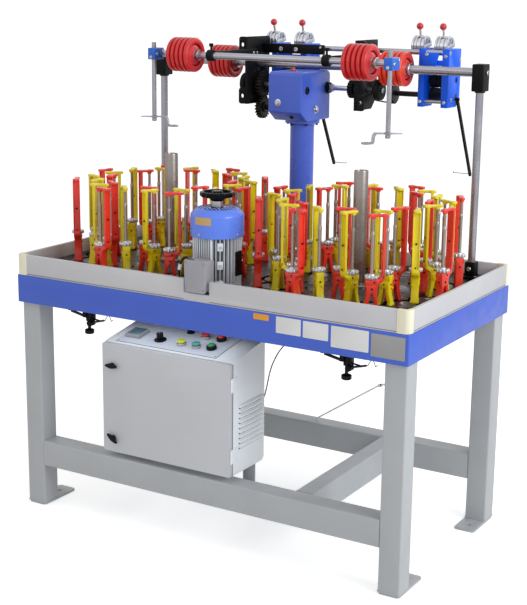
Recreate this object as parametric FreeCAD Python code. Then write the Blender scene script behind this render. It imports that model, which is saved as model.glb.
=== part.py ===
"""Two-head maypole cord braiding machine, in millimetres.

Frame: origin on the floor under the middle of the table, +X along the row of
heads, +Y to the rear, +Z up.  The operator stands on the -Y side.
"""
import FreeCAD, Part
import os
from math import asin, atan2, cos, degrees, hypot, pi, radians, sin, tan

Vector = FreeCAD.Vector

# --- table ---------------------------------------------------------------
table_length = 1600.0
table_depth = 860.0
apron_bottom = 800.0
apron_height = 103.0
apron_sheet = 4.0
leg_side = 80.0
leg_wall = 4.0
leg_inset_x = 9.0
leg_inset_y = 16.5
tray_height = 77.0
tray_wall = 14.0
tray_inset = 2.0
corner_along_x = 45.0
corner_along_y = 33.0
corner_wall = 16.0
corner_radius = 18.0
rail_height = 100.0
rail_bottom = 162.0
rail_wall = 4.0
cross_rail_width = 72.0
cross_rail_x = 385.0
foot_thickness = 8.0
foot_reach = 107.0
foot_corner = 14.0
anchor_radius = 7.0
anchor_from_leg = 55.0
bed_thickness = 12.0

# --- braiding heads ------------------------------------------------------
head_spacing = 800.0
gears_per_head = 16
gear_spacing = 116.0
gear_thickness = 7.0
gear_rim_gap = 0.5
track_thickness = 15.0
groove_width = 14.0
outer_arc_steps = 3
inner_arc_steps = 2
core_hole_radius = 22.5

# --- bobbin carriers -----------------------------------------------------
carrier_depth = 26.0
base_foot = 27.0
base_waist = 18.0
base_height = 105.0
waist_height = 45.0
notch_half = 9.0
notch_height = 62.0
post_from_spindle = 36.0
post_thickness = 11.0
carrier_height = 318.0
arm_thickness = 10.0
arm_behind = 18.0
arm_beyond = 51.0
crown_radius = 23.5
crown_thickness = 12.0
spindle_radius = 6.5

# --- centre tubes --------------------------------------------------------
tube_radius = 25.0
tube_bore = 22.0
tube_top = 1340.0

# --- motor ---------------------------------------------------------------
motor_y = -298.0
motor_radius = 85.0
motor_fin_depth = 12.0
motor_fins = 14
motor_height = 187.0
motor_flange = 12.0
end_shield = 12.0
motor_flange_radius = 84.0
cover_radius = 93.0
cover_height = 85.0
cover_skirt = 12.0
cover_wall = 3.0
cover_bevel = 24.0
motor_shaft_radius = 12.0
fan_radius = 72.0
fan_hub = 24.0
fan_blades = 6
fan_height = 36.0
handwheel_radius = 61.0
handwheel_wall = 17.0
handwheel_height = 20.0
handwheel_lift = 36.0
handwheel_hub = 24.0
handwheel_edge = 4.0
handwheel_collar = 12.0
handwheel_dish = 8.0
fan_lift = 20.0
box_half_width = 44.0
box_front = -440.0
box_bottom = 937.0
box_top = 1048.0
box_taper = 5.0
box_taper_height = 30.0
box_corner = 6.0
notch_clearance = 5.0

# --- column and gearbox --------------------------------------------------
column_y = 288.0
column_radius = 45.0
column_top = 1470.0
column_flange = 14.0
column_flange_radius = 75.0
gearbox_half_width = 70.0
gearbox_front = 152.0
gearbox_back = 374.0
gearbox_top = 1651.0
gearbox_bevel = 34.0
gearbox_boss = 14.0
gearbox_edge = 12.0
plug_height = 10.0
plug_y = 212.0
plug_radius = 11.0
sight_y = 196.0
sight_z = 1584.0
sight_radius = 13.0
sight_depth = 12.0

# --- overhead bars -------------------------------------------------------
post_x = 680.0
post_radius = 14.0
socket_side = 40.0
socket_height = 60.0
clamp_width = 45.0
clamp_depth = 60.0
clamp_height = 95.0
clamp_above_bar = 30.0
rear_bar_y = 353.0
rear_bar_z = 1668.0
rear_bar_radius = 16.0
front_bar_y = 0.0
front_bar_z = 1708.0
front_bar_radius = 12.0
front_bar_left = -471.0
front_bar_right = 526.0
tie_bar_y = 410.0
tie_bar_z = 1728.0
tie_bar_radius = 10.0

# --- side brackets and cross shaft ---------------------------------------
web_inner = 228.0
web_thickness = 12.0
web_front = 262.0
web_back = 424.0
web_bottom = 1515.0
web_top = 1768.0
ear_reach = 28.0
ear_height = 60.0
ear_hole_radius = 8.0
arm_height = 30.0
flat_bar_right = 40.0
flat_bar_bottom = 1706.0
flat_bar_top = 1742.0
flat_bar_thickness = 12.0
cross_shaft_y = 352.0
cross_shaft_z = 1587.0
shaft_radius = 10.0
shaft_end = 303.0
running_clearance = 0.05
part_gap = 0.3
rod_sides = 10
round_sides = 12
wheel_sides = 16
gear_module = 4.0
upper_teeth = 24
lower_teeth = 20
change_gear_x = -225.0
change_gear_width = 22.0
belt_pulley_x = 276.0
belt_pulley_width = 22.0
belt_pulley_radius = 36.0
belt_thickness = 4.0
belt_gap = 0.4
belt_step = 36
grip_x = 168.0
grip_width = 30.0
grip_radius = 35.0

# --- grooved cord pulleys ------------------------------------------------
pulley_radius = 62.5
pulley_length = 95.0
pulley_ribs = 5
pulley_root = 47.0
pulley_sides = 10
front_pulley_x = (-335.0, 386.0)
rear_pulley_x = (-385.0, 350.0)

# --- guides --------------------------------------------------------------
guide_x = (-457.0, 510.0)
guide_rod_y = -28.0
guide_rod_radius = 8.5
guide_rod_bottom = 1480.0
guide_rod_top = 1750.0
guide_clamp_width = 33.0
guide_clamp_front = -45.0
guide_clamp_back = 15.0
guide_clamp_height = 42.0
guide_arm_thickness = 6.0
guide_arm_width = 9.0
guide_arm_tail = 50.0
guide_arm_reach = 50.0
guide_arm_drop = 34.0
guide_hub_radius = 15.0
guide_eye_radius = 17.0
guide_eye_hole = 8.0
guide_arm_turn = 31.0
guide_nut_radius = 9.0
guide_nut_height = 14.0

# --- nip (take-up) units -------------------------------------------------
unit_x = (-201.0, 421.0)
left_plate_thickness = 22.0
unit_width = (154.0, 119.0)
right_plate_thickness = 27.0
unit_front = 395.0
unit_back = 505.0
unit_bottom = 1532.0
unit_top = 1742.0
unit_chamfer = 30.0
press_plate_thickness = 12.0
wedge_top_half = 26.0
wedge_foot_half = 14.0
wedge_shift = -8.0
wedge_below_top = 6.0
wedge_height = 86.0
link_thickness = 4.0
link_span = (40.0, 60.0)
roller_y = 470.0
driven_z = 1570.0
driven_radius = 28.0
press_radius = 30.0
nip_gap = 0.4
roller_side_gap = 1.0
unit_rod_y = 412.0
unit_rod_z = 1552.0
unit_rod_radius = 7.0
cam_radius = 43.0
cam_width = 50.0
cam_lean = 15.0
cam_z = 1748.0
cam_flat = 12.0
lever_radius = 4.0
ball_radius = 13.0
ball_z = 1822.0

# --- stop-motion arms ----------------------------------------------------
stop_arm_x_gap = 4.0
stop_pivot_z = 1560.0
stop_arm_length = 340.0
stop_arm_lean = 28.0
stop_arm_width = 14.0
stop_arm_thickness = 8.0
stop_pin_radius = 6.0

# --- core tensioners under the table -------------------------------------
tensioner_x = 537.0
tensioner_y = -338.0
tensioner_knob_radius = 17.5
tensioner_knob = (694.0, 712.0)
tensioner_screw_radius = 6.0
tensioner_block = (742.0, 800.0)
tensioner_half_x = 22.0
tensioner_half_y = 18.0
hanger_half = 8.0

# --- control cabinet -----------------------------------------------------
cabinet_left = -424.0
cabinet_right = 126.0
cabinet_front = -410.0
cabinet_back = -177.0
cabinet_bottom = 283.0
cabinet_front_top = 693.0
cabinet_slope = 10.0
cabinet_chamfer = 45.0
cabinet_sheet = 4.0
door_thickness = 18.0
hinge_radius = 4.0
hinge_height = 50.0
latch_x = -377.0
latch_heights = (337.0, 613.0)
latch_radius = 11.0
latch_hub = 8.0
latch_wing = 6.7
latch_tilt = (-35.0, 0.0)
wing_half = [(-26.0, -2.0), (-10.0, -7.0), (10.0, -7.0), (26.0, -2.0)]
louvre_count = 9
louvre_pitch = 18.0
louvre_bottom = 400.0
louvre_front = -357.0
bracket_width = 50.0
bracket_sheet = 6.0
bracket_bottom = 205.0
bracket_x = (-345.0, 75.0)
bracket_y = -232.0
panel_left = -385.0
panel_right = 47.0
panel_start = 32.0
panel_end = 226.0
panel_thickness = 2.0
button_radius = 11.0
button_travel = 4.0
bezel_radius = 14.0
bezel_height = 8.0
control_sides = 12
lamp_sides = 10
knob_profile = [(18.0, 0.0), (18.0, 5.0), (14.0, 7.0), (12.5, 26.0), (10.5, 28.0)]
dial_radius = 15.0
dial_height = 7.0
dial_bar = (4.0, 14.0, 22.0)
lamp_profile = [(14.0, 0.0), (14.0, 7.0), (11.0, 7.0), (11.0, 11.0), (6.0, 15.0)]
display_box = (-372.0, -307.0, 70.0, 138.0, 12.0)

# --- derived places ------------------------------------------------------
half_length = table_length / 2
half_depth = table_depth / 2
apron_top = apron_bottom + apron_height
bed_top = apron_top + bed_thickness
deck_top = bed_top + track_thickness
tray_top = apron_top + tray_height
head_xs = (-head_spacing / 2, head_spacing / 2)
gear_step = 360.0 / gears_per_head
ring_radius = gear_spacing / 2 / sin(radians(gear_step / 2))
crossing_radius = ring_radius * cos(radians(gear_step / 2))
groove_inner = (gear_spacing - groove_width) / 2
groove_outer = (gear_spacing + groove_width) / 2
leg_outer_x = half_length - leg_inset_x
leg_outer_y = half_depth - leg_inset_y
motor_top = deck_top + motor_height + motor_flange
cover_top = motor_top + cover_height
post_y = rear_bar_y
lower_gear_z = cross_shaft_z - gear_module * (upper_teeth + lower_teeth) / 2
press_z = driven_z + driven_radius + press_radius + nip_gap
door_back = cabinet_front + door_thickness
body_front = door_back + part_gap
cabinet_rise = tan(radians(cabinet_slope))


def save(node, solids):
    """Write one sub-part as a group of solids."""
    Part.makeCompound(list(solids)).exportStep("parts/%s.step" % node)


def box(x0, x1, y0, y1, z0, z1):
    return Part.makeBox(x1 - x0, y1 - y0, z1 - z0, Vector(x0, y0, z0))


def prism(points, axis, low, high):
    """Extrude a flat outline along x (points are y, z), y (x, z) or z (x, y)."""
    if axis == "x":
        corners = [Vector(low, a, b) for a, b in points]
        direction = Vector(high - low, 0, 0)
    elif axis == "y":
        corners = [Vector(a, low, b) for a, b in points]
        direction = Vector(0, high - low, 0)
    else:
        corners = [Vector(a, b, low) for a, b in points]
        direction = Vector(0, 0, high - low)
    return Part.Face(Part.makePolygon(corners + corners[:1])).extrude(direction)


def ring_points(radius, sides, centre=(0.0, 0.0), turn=0.0):
    """Corners of a regular polygon with its corners on the given radius."""
    return [(centre[0] + radius * cos(radians(turn + 360.0 * i / sides)),
             centre[1] + radius * sin(radians(turn + 360.0 * i / sides)))
            for i in range(sides)]


def rod_x(x0, x1, y, z, radius, sides=rod_sides):
    return prism(ring_points(radius, sides, (y, z), 180.0 / sides), "x", x0, x1)


def rod_z(z0, z1, x, y, radius, sides=rod_sides):
    return prism(ring_points(radius, sides, (x, y), 180.0 / sides), "z", z0, z1)


def bore_for(radius):
    """Corner radius of a flat-sided bore whose flats clear a turning shaft."""
    return (radius + running_clearance) / cos(pi / rod_sides)


def turned(profile, sides, closed=False):
    """A flat-sided turning about Z; the profile is a list of (radius, z)."""
    half = 180.0 / sides
    rows = [[Vector(x, y, z) for x, y in ring_points(radius, sides, turn=half)]
            for radius, z in profile]
    pairs = list(zip(rows, rows[1:]))
    if closed:
        pairs.append((rows[-1], rows[0]))
    faces = []
    for low, high in pairs:
        for i in range(sides):
            j = (i + 1) % sides
            corners = [low[i], low[j], high[j], high[i], low[i]]
            faces.append(Part.Face(Part.makePolygon(corners)))
    if not closed:
        for row in (rows[0], rows[-1]):
            faces.append(Part.Face(Part.makePolygon(row + row[:1])))
    solid = Part.Solid(Part.Shell(faces))
    if solid.Volume < 0:
        solid.reverse()
    return solid


def along_x(shape, x, y, z):
    """Lay a Z turning along +X and move its start to a point."""
    shape.rotate(Vector(0, 0, 0), Vector(0, 1, 0), 90)
    shape.translate(Vector(x, y, z))
    return shape


def tube_frame(x0, x1, y0, y1, z0, z1, wall, axis):
    """A rectangular tube with its open ends facing along the named axis."""
    outer = box(x0, x1, y0, y1, z0, z1)
    grow = {name: (0 if name == axis else wall) for name in "xyz"}
    inner = box(x0 + grow["x"], x1 - grow["x"], y0 + grow["y"], y1 - grow["y"],
                z0 + grow["z"], z1 - grow["z"])
    return outer.cut(inner)


def corners_of_table():
    return [(sx, sy) for sx in (-1, 1) for sy in (-1, 1)]


def mirrored_span(side, inner, outer):
    """Low and high of a span given by its distances from the middle."""
    return (inner, outer) if side > 0 else (-outer, -inner)


# --- table frame ---------------------------------------------------------
def make_legs():
    legs = []
    for sx, sy in corners_of_table():
        x0, x1 = mirrored_span(sx, leg_outer_x - leg_side, leg_outer_x)
        y0, y1 = mirrored_span(sy, leg_outer_y - leg_side, leg_outer_y)
        legs.append(tube_frame(x0, x1, y0, y1, foot_thickness, apron_top, leg_wall, "z"))
    save("legs", legs)


def make_foot_plates():
    plates = []
    inner_y = leg_outer_y - leg_side - foot_reach
    hole_y = leg_outer_y - leg_side - anchor_from_leg
    for sx, sy in corners_of_table():
        near, far = leg_outer_x - leg_side, leg_outer_x
        outline = [(sx * near, sy * leg_outer_y), (sx * far, sy * leg_outer_y),
                   (sx * far, sy * (inner_y + foot_corner)),
                   (sx * (far - foot_corner), sy * inner_y),
                   (sx * (near + foot_corner), sy * inner_y),
                   (sx * near, sy * (inner_y + foot_corner))]
        hole = Part.makeCylinder(anchor_radius, foot_thickness, Vector(sx * (near + far) / 2, sy * hole_y, 0))
        plates.append(prism(outline, "z", 0, foot_thickness).cut(hole))
    save("foot_plates", plates)


def make_rails():
    rails = []
    z0, z1 = rail_bottom, rail_bottom + rail_height
    reach = leg_outer_x - leg_side
    inner_y = leg_outer_y - leg_side
    for sy in (-1, 1):
        y0, y1 = mirrored_span(sy, inner_y, leg_outer_y)
        rails.append(tube_frame(-reach, reach, y0, y1, z0, z1, rail_wall, "x"))
    for sx in (-1, 1):
        x0 = sx * cross_rail_x - cross_rail_width / 2
        rails.append(tube_frame(x0, x0 + cross_rail_width, -inner_y, inner_y, z0, z1, rail_wall, "y"))
    save("rails", rails)


def channel(depth):
    """Outline of a folded channel: web on the outside, flanges turned in."""
    web, low, high = apron_sheet, apron_bottom, apron_top
    return [(0, low), (depth, low), (depth, low + web), (web, low + web),
            (web, high - web), (depth, high - web), (depth, high), (0, high)]


def make_apron():
    panels = []
    for sy in (-1, 1):
        outline = [(sy * (half_depth - u), z) for u, z in channel(leg_inset_y)]
        panels.append(prism(outline, "x", -half_length, half_length))
    inner = half_depth - leg_inset_y
    for sx in (-1, 1):
        outline = [(sx * (half_length - u), z) for u, z in channel(leg_inset_x)]
        panels.append(prism(outline, "y", -inner, inner))
    save("apron_panels", panels)


def make_bed_plate():
    reach_x = half_length - corner_wall
    reach_y = half_depth - corner_wall
    plate = box(-reach_x, reach_x, -reach_y, reach_y, apron_top, bed_top)
    for head_x in head_xs:
        hole = prism(ring_points(core_hole_radius, 10, (head_x, 0.0)), "z", apron_top - 1, bed_top + 1)
        plate = plate.cut(hole)
    save("bed_plate", [plate])


def make_tray():
    outer_x, outer_y = half_length - tray_inset, half_depth - tray_inset
    end_x, end_y = half_length - corner_along_x, half_depth - corner_along_y
    walls = [box(-end_x, end_x, *mirrored_span(sy, outer_y - tray_wall, outer_y), apron_top, tray_top)
             for sy in (-1, 1)]
    notch_half = box_half_width + notch_clearance
    notch = box(-notch_half, notch_half, -half_depth, -outer_y + tray_wall + 1,
                box_bottom - notch_clearance, tray_top + 1)
    walls[0] = walls[0].cut(notch)
    walls += [box(*mirrored_span(sx, outer_x - tray_wall, outer_x), -end_y, end_y, apron_top, tray_top)
              for sx in (-1, 1)]
    save("tray_walls", walls)
    pieces = []
    for sx, sy in corners_of_table():
        centre = (half_length - corner_radius, half_depth - corner_radius)
        outline = [(end_x, half_depth)]
        outline += [(centre[0] + corner_radius * cos(radians(a)), centre[1] + corner_radius * sin(radians(a)))
                    for a in (90, 60, 30, 0)]
        outline += [(half_length, end_y), (half_length - corner_wall, end_y),
                    (half_length - corner_wall, half_depth - corner_wall),
                    (end_x, half_depth - corner_wall)]
        pieces.append(prism([(sx * x, sy * y) for x, y in outline], "z", apron_top, tray_top + tray_inset))
    save("tray_corners", pieces)


# --- braiding heads ------------------------------------------------------
def gear_centre(head_x, index):
    angle = radians(gear_step * (index + 0.5))
    return head_x + ring_radius * cos(angle), ring_radius * sin(angle)


def scallops(head_x, side, steps):
    """Edge of the groove on one side of the gear ring: side 1 outside, -1 inside."""
    tilt = gear_step / 2
    meeting = degrees(atan2((groove_outer ** 2 - (gear_spacing / 2) ** 2) ** 0.5, gear_spacing / 2))
    half = 90.0 + side * tilt - meeting
    points = []
    for index in range(gears_per_head):
        angle = gear_step * (index + 0.5)
        x, y = gear_centre(head_x, index)
        for k in range(steps):
            swing = half * (2.0 * (k + 0.5) / steps - 1.0)
            if side > 0:
                a = radians(angle + swing)
            else:
                a = radians(angle + 180.0 - swing)
            points.append((x + groove_outer * cos(a), y + groove_outer * sin(a)))
        meet = angle + tilt
        reach = crossing_radius + side * groove_outer * sin(radians(meeting))
        points.append((head_x + reach * cos(radians(meet)), reach * sin(radians(meet))))
    return points


def make_track():
    reach_x = half_length - corner_wall
    reach_y = half_depth - corner_wall
    plate = box(-reach_x, reach_x, -reach_y, reach_y, bed_top, deck_top)
    solids = []
    quoits = []
    for head_x in head_xs:
        opening = prism(scallops(head_x, 1, outer_arc_steps), "z", bed_top - 1, deck_top + 1)
        plate = plate.cut(opening)
        core_hole = prism(ring_points(core_hole_radius, 10, (head_x, 0.0)), "z", bed_top - 1, deck_top + 1)
        island = prism(scallops(head_x, -1, inner_arc_steps), "z", bed_top, deck_top)
        solids.append(island.cut(core_hole))
        for index in range(gears_per_head):
            centre = gear_centre(head_x, index)
            quoits.append(prism(ring_points(groove_inner, 8, centre, 22.5), "z",
                                bed_top + gear_thickness, deck_top))
    save("track_plate", [plate] + solids + quoits)


def make_horn_gears():
    gears = []
    radius = gear_spacing / 2 - gear_rim_gap
    for head_x in head_xs:
        for index in range(gears_per_head):
            centre = gear_centre(head_x, index)
            turn = gear_step * index
            gears.append(prism(ring_points(radius, 6, centre, turn), "z", bed_top, bed_top + gear_thickness))
    save("horn_gears", gears)


def carrier_frame():
    """Cast frame of one carrier at its spindle, with the yarn post towards +X."""
    post_in = post_from_spindle - post_thickness / 2
    post_out = post_from_spindle + post_thickness / 2
    arm_bottom = carrier_height - arm_thickness
    outline = [(-base_foot, 0), (-notch_half, 0), (0, notch_height), (notch_half, 0), (base_foot, 0),
               (base_waist, waist_height), (post_out, base_height - 7), (post_out, arm_bottom),
               (arm_beyond, arm_bottom), (arm_beyond, carrier_height), (-arm_behind, carrier_height),
               (-arm_behind, arm_bottom), (post_in, arm_bottom), (post_in, base_height),
               (-base_waist, base_height)]
    half = carrier_depth / 2
    return prism(outline, "y", -half, half)


def carrier_places(head_x):
    """Colour, spindle place and the direction of the yarn post of each carrier."""
    places = []
    for k in range(gears_per_head):
        angle = gear_step * k
        turn = angle - 135.0 if k % 2 == 0 else angle - 45.0
        places.append(("yellow", crossing_radius, angle, turn))
    for j in range(gears_per_head // 2):
        outer = gear_step * (2 * j + 1.5)
        inner = gear_step * (2 * j + 0.5)
        places.append(("red", ring_radius + gear_spacing / 2, outer, outer + 90.0))
        places.append(("red", ring_radius - gear_spacing / 2, inner, inner + 90.0))
    return [(colour, head_x + r * cos(radians(a)), r * sin(radians(a)), turn)
            for colour, r, a, turn in places]


def make_carriers():
    frames = {"red": [], "yellow": []}
    spindles = []
    frame = carrier_frame()
    crown_bottom = deck_top + base_height
    crown_top = crown_bottom + crown_thickness
    arm_bottom = deck_top + carrier_height - arm_thickness
    for head_x in head_xs:
        for colour, x, y, turn in carrier_places(head_x):
            copy = frame.copy()
            copy.rotate(Vector(0, 0, 0), Vector(0, 0, 1), turn)
            copy.translate(Vector(x, y, deck_top))
            frames[colour].append(copy)
            crown = prism(ring_points(crown_radius, 6, (x, y), turn + 30), "z", crown_bottom, crown_top)
            spindle = prism(ring_points(spindle_radius, 4, (x, y), turn + 45), "z", crown_top, arm_bottom)
            spindles += [crown, spindle]
    save("red_carriers", frames["red"])
    save("yellow_carriers", frames["yellow"])
    save("carrier_spindles", spindles)


def make_centre_tubes():
    save("centre_tubes", [rod_z(deck_top, tube_top, x, 0, tube_radius, round_sides).cut(
        rod_z(deck_top - 1, tube_top + 1, x, 0, tube_bore, round_sides)) for x in head_xs])


# --- motor ---------------------------------------------------------------
def make_motor():
    outline = []
    pitch = 360.0 / motor_fins
    for k in range(motor_fins):
        for share, radius in ((-0.24, motor_radius), (0.24, motor_radius),
                              (0.30, motor_radius - motor_fin_depth), (0.70, motor_radius - motor_fin_depth)):
            a = radians(pitch * (k + share) - 90.0)
            outline.append((radius * cos(a), motor_y + radius * sin(a)))
    flange_top = deck_top + motor_flange
    half_step = 180.0 / wheel_sides
    flange = prism(ring_points(motor_flange_radius, wheel_sides, (0.0, motor_y), half_step), "z",
                   deck_top, flange_top)
    frame = prism(outline, "z", flange_top, motor_top - end_shield)
    shield = prism(ring_points(cover_radius - cover_wall - part_gap, wheel_sides, (0.0, motor_y), half_step),
                   "z", motor_top - end_shield, motor_top)
    save("motor_body", [frame, flange, shield])
    inner = cover_radius - cover_wall
    rim = cover_radius - cover_bevel
    straight = cover_top - cover_bevel
    shell = turned([(cover_radius, motor_top - cover_skirt), (cover_radius, straight), (rim, cover_top),
                    (rim - 1, cover_top - cover_wall), (inner, straight - 1),
                    (inner, motor_top - cover_skirt)], wheel_sides, closed=True)
    lid = turned([(rim - 1, cover_top - cover_wall), (rim - 1, cover_top)], wheel_sides)
    hub_low, hub_high = cover_top - 3 * cover_wall, cover_top + 2 * cover_wall
    bearing = turned([(fan_hub, hub_low), (fan_hub, hub_high)], round_sides)
    bore = rod_z(cover_top - cover_height, cover_top + cover_height, 0, 0, bore_for(motor_shaft_radius))
    top = lid.fuse(bearing).cut(bore)
    cover = shell.fuse(top)
    cover.translate(Vector(0, motor_y, 0))
    save("fan_cover", [cover])
    make_motor_rotor()
    make_terminal_box()


def make_motor_rotor():
    fan_bottom = motor_top + fan_lift
    shaft_top = cover_top + handwheel_lift + handwheel_height
    shaft = rod_z(motor_top + part_gap, shaft_top, 0, motor_y, motor_shaft_radius)
    outline = []
    for k in range(fan_blades):
        for share, radius in ((-0.1, fan_hub), (-0.025, fan_radius), (0.025, fan_radius), (0.1, fan_hub)):
            a = 2 * pi * (k + share) / fan_blades
            outline.append((radius * cos(a), motor_y + radius * sin(a)))
    fan = prism(outline, "z", fan_bottom, fan_bottom + fan_height)
    fan = fan.cut(rod_z(fan_bottom - 1, fan_bottom + fan_height + 1, 0, motor_y, motor_shaft_radius))
    save("motor_shaft", [shaft])
    save("cooling_fan", [fan])
    low = cover_top + handwheel_lift
    high = low + handwheel_height
    rim = handwheel_radius
    hub, edge, dish = handwheel_hub, handwheel_edge, high - handwheel_dish
    wheel = turned([(hub, low - handwheel_collar), (hub, low), (rim - edge, low), (rim, low + edge),
                    (rim - edge, high), (rim - handwheel_wall, high), (rim - handwheel_wall - edge, dish),
                    (hub, dish), (hub - edge, high)], wheel_sides)
    wheel = wheel.cut(rod_z(low - handwheel_collar - 1, high + 1, 0, 0, motor_shaft_radius))
    wheel.translate(Vector(0, motor_y, 0))
    save("handwheel", [wheel])


def make_terminal_box():
    back = motor_y - motor_radius - part_gap
    half = box_half_width
    low, shoulder, corner = half - box_taper, box_bottom + box_taper_height, box_corner
    outline = [(-low, box_bottom), (low, box_bottom), (half, shoulder), (half, box_top - corner),
               (half - corner, box_top), (corner - half, box_top), (-half, box_top - corner),
               (-half, shoulder)]
    save("terminal_box", [prism(outline, "y", box_front, back)])


# --- column and gearbox --------------------------------------------------
def make_column():
    foot = rod_z(deck_top, deck_top + column_flange, 0, column_y, column_flange_radius, round_sides)
    tube = rod_z(deck_top + column_flange, column_top - column_flange, 0, column_y, column_radius,
                 round_sides)
    head = rod_z(column_top - column_flange, column_top, 0, column_y, column_flange_radius - 10, round_sides)
    save("column", [foot, tube, head])


def make_gearbox():
    half = gearbox_half_width
    front, back, low, high = gearbox_front, gearbox_back, column_top, gearbox_top
    edge = gearbox_edge
    side = [(front, low + gearbox_bevel), (front + 1.4 * gearbox_bevel, low), (back, low),
            (back, high - edge), (back - edge, high), (front + edge, high), (front, high - edge)]
    case = prism(side, "x", -half, half)
    case = case.cut(rod_x(half - sight_depth, half + 1, sight_y, sight_z, sight_radius))
    for z, sides in ((cross_shaft_z, (-1, 1)), (lower_gear_z, (-1,))):
        for sx in sides:
            x0, x1 = mirrored_span(sx, half, half + gearbox_boss)
            case = case.fuse(rod_x(x0, x1, cross_shaft_y, z, 2 * shaft_radius, 10))
    plug = prism(ring_points(plug_radius, 6, (0.0, plug_y)), "z", high, high + plug_height)
    save("gearbox", [case, plug])


# --- overhead bars -------------------------------------------------------
def make_posts():
    posts = []
    fittings = []
    clamp_top = rear_bar_z + clamp_above_bar
    for sx in (-1, 1):
        x = sx * post_x
        clamp_bottom = clamp_top - clamp_height
        posts.append(rod_z(deck_top + socket_height, clamp_bottom, x, post_y, post_radius))
        fittings.append(box(x - socket_side / 2, x + socket_side / 2, post_y - socket_side / 2,
                            post_y + socket_side / 2, deck_top, deck_top + socket_height))
        fittings.append(box(x - clamp_width / 2, x + clamp_width / 2, post_y - clamp_depth / 2,
                            post_y + clamp_depth / 2, clamp_bottom, clamp_top))
    save("posts", posts)
    save("post_fittings", fittings)


def bar_end():
    return post_x - clamp_width / 2


def make_bars():
    rear = rod_x(-bar_end(), bar_end(), rear_bar_y, rear_bar_z, rear_bar_radius)
    front = rod_x(front_bar_left, front_bar_right, front_bar_y, front_bar_z, front_bar_radius)
    tie = rod_x(-web_inner - web_thickness, unit_x[1] + unit_width[1], tie_bar_y, tie_bar_z, tie_bar_radius)
    unit_rods = [rod_x(x + left_plate_thickness, x + width - right_plate_thickness, unit_rod_y,
                       unit_rod_z, unit_rod_radius) for x, width in zip(unit_x, unit_width)]
    save("cross_bars", [rear, front, tie] + unit_rods)


def make_side_brackets():
    solids = []
    bore = bore_for(shaft_radius)
    for sx in (-1, 1):
        x0, x1 = mirrored_span(sx, web_inner, web_inner + web_thickness)
        web = prism([(web_front, web_bottom), (web_back - 40, web_bottom), (web_back, web_bottom + 40),
                     (web_back, web_top), (web_front, web_top)], "x", x0, x1)
        e0, e1 = mirrored_span(sx, web_inner + web_thickness, web_inner + web_thickness + ear_reach)
        for z0 in (web_bottom, web_top - ear_height):
            ear = box(e0, e1, web_front, web_front + web_thickness, z0, z0 + ear_height)
            hole = prism(ring_points(ear_hole_radius, 8, ((e0 + e1) / 2, z0 + ear_height / 2)), "y",
                         web_front - 1, web_front + web_thickness + 1)
            web = web.fuse(ear.cut(hole))
        for y, z, radius in ((cross_shaft_y, cross_shaft_z, bore), (rear_bar_y, rear_bar_z, rear_bar_radius),
                             (tie_bar_y, tie_bar_z, tie_bar_radius)):
            web = web.cut(rod_x(x0 - 1, x1 + 1, y, z, radius))
        solids.append(web)
    arm_low, arm_high = front_bar_z - arm_height / 2, front_bar_z + arm_height / 2
    nose = front_bar_radius + 10
    left = box(-web_inner, -web_inner + web_thickness, front_bar_y - nose, web_front + 60, arm_low, arm_high)
    right_x = web_inner + web_thickness + ear_reach / 2
    right = box(right_x - web_thickness / 2, right_x + web_thickness / 2, front_bar_y - nose, web_front,
                arm_low, arm_high)
    for arm in (left, right):
        bounds = arm.BoundBox
        solids.append(arm.cut(rod_x(bounds.XMin - 1, bounds.XMax + 1, front_bar_y, front_bar_z,
                                    front_bar_radius)))
    flat_back = unit_front - press_plate_thickness
    solids.append(box(-web_inner, flat_bar_right, flat_back - flat_bar_thickness, flat_back,
                      flat_bar_bottom, flat_bar_top))
    save("side_brackets", solids)


# --- drive to the take-up rollers ----------------------------------------
def toothed_disc(teeth, turn, x0, x1, y, z, bore):
    """Spur gear with straight-flanked teeth and V gaps, axis along X."""
    pitch = gear_module * teeth / 2
    tip, root = pitch + 0.9 * gear_module, pitch - 1.5 * gear_module
    step = 360.0 / teeth
    outline = []
    for k in range(teeth):
        centre = turn + step * k
        for share, radius in ((-0.07, tip), (0.07, tip), (0.5, root)):
            a = radians(centre + share * step)
            outline.append((y + radius * cos(a), z + radius * sin(a)))
    return prism(outline, "x", x0, x1).cut(rod_x(x0 - 1, x1 + 1, y, z, bore, round_sides))


def steps_x(steps, y, z, sides):
    """Stepped turning along X from a list of (start, end, radius)."""
    profile = []
    for start, end, radius in steps:
        profile += [(radius, start), (radius, end)]
    return along_x(turned(profile, sides), 0.0, y, z)


def make_cross_shaft():
    y, z, r = cross_shaft_y, cross_shaft_z, shaft_radius
    start = gearbox_half_width + gearbox_boss + part_gap
    pulley, end = belt_pulley_x, belt_pulley_x + belt_pulley_width
    right = steps_x([(start, grip_x, r), (grip_x, grip_x + grip_width, grip_radius),
                     (grip_x + grip_width, pulley, r), (pulley, end, belt_pulley_radius),
                     (end, shaft_end, r)], y, z, round_sides)
    left = steps_x([(-shaft_end, -end, r), (-end, -pulley, belt_pulley_radius), (-pulley, -start, r)],
                   y, z, round_sides)
    save("cross_shaft", [left, right])
    x0, x1 = change_gear_x, change_gear_x + change_gear_width
    save("upper_change_gear", [toothed_disc(upper_teeth, -90.0, x0, x1, y, z, r)])
    low = lower_gear_z
    gear = toothed_disc(lower_teeth, 90.0 + 180.0 / lower_teeth, x0, x1, y, low, r)
    stub = rod_x(-web_inner - web_thickness, -start, y, low, r, round_sides)
    save("lower_change_gear", [gear, stub])


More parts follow.
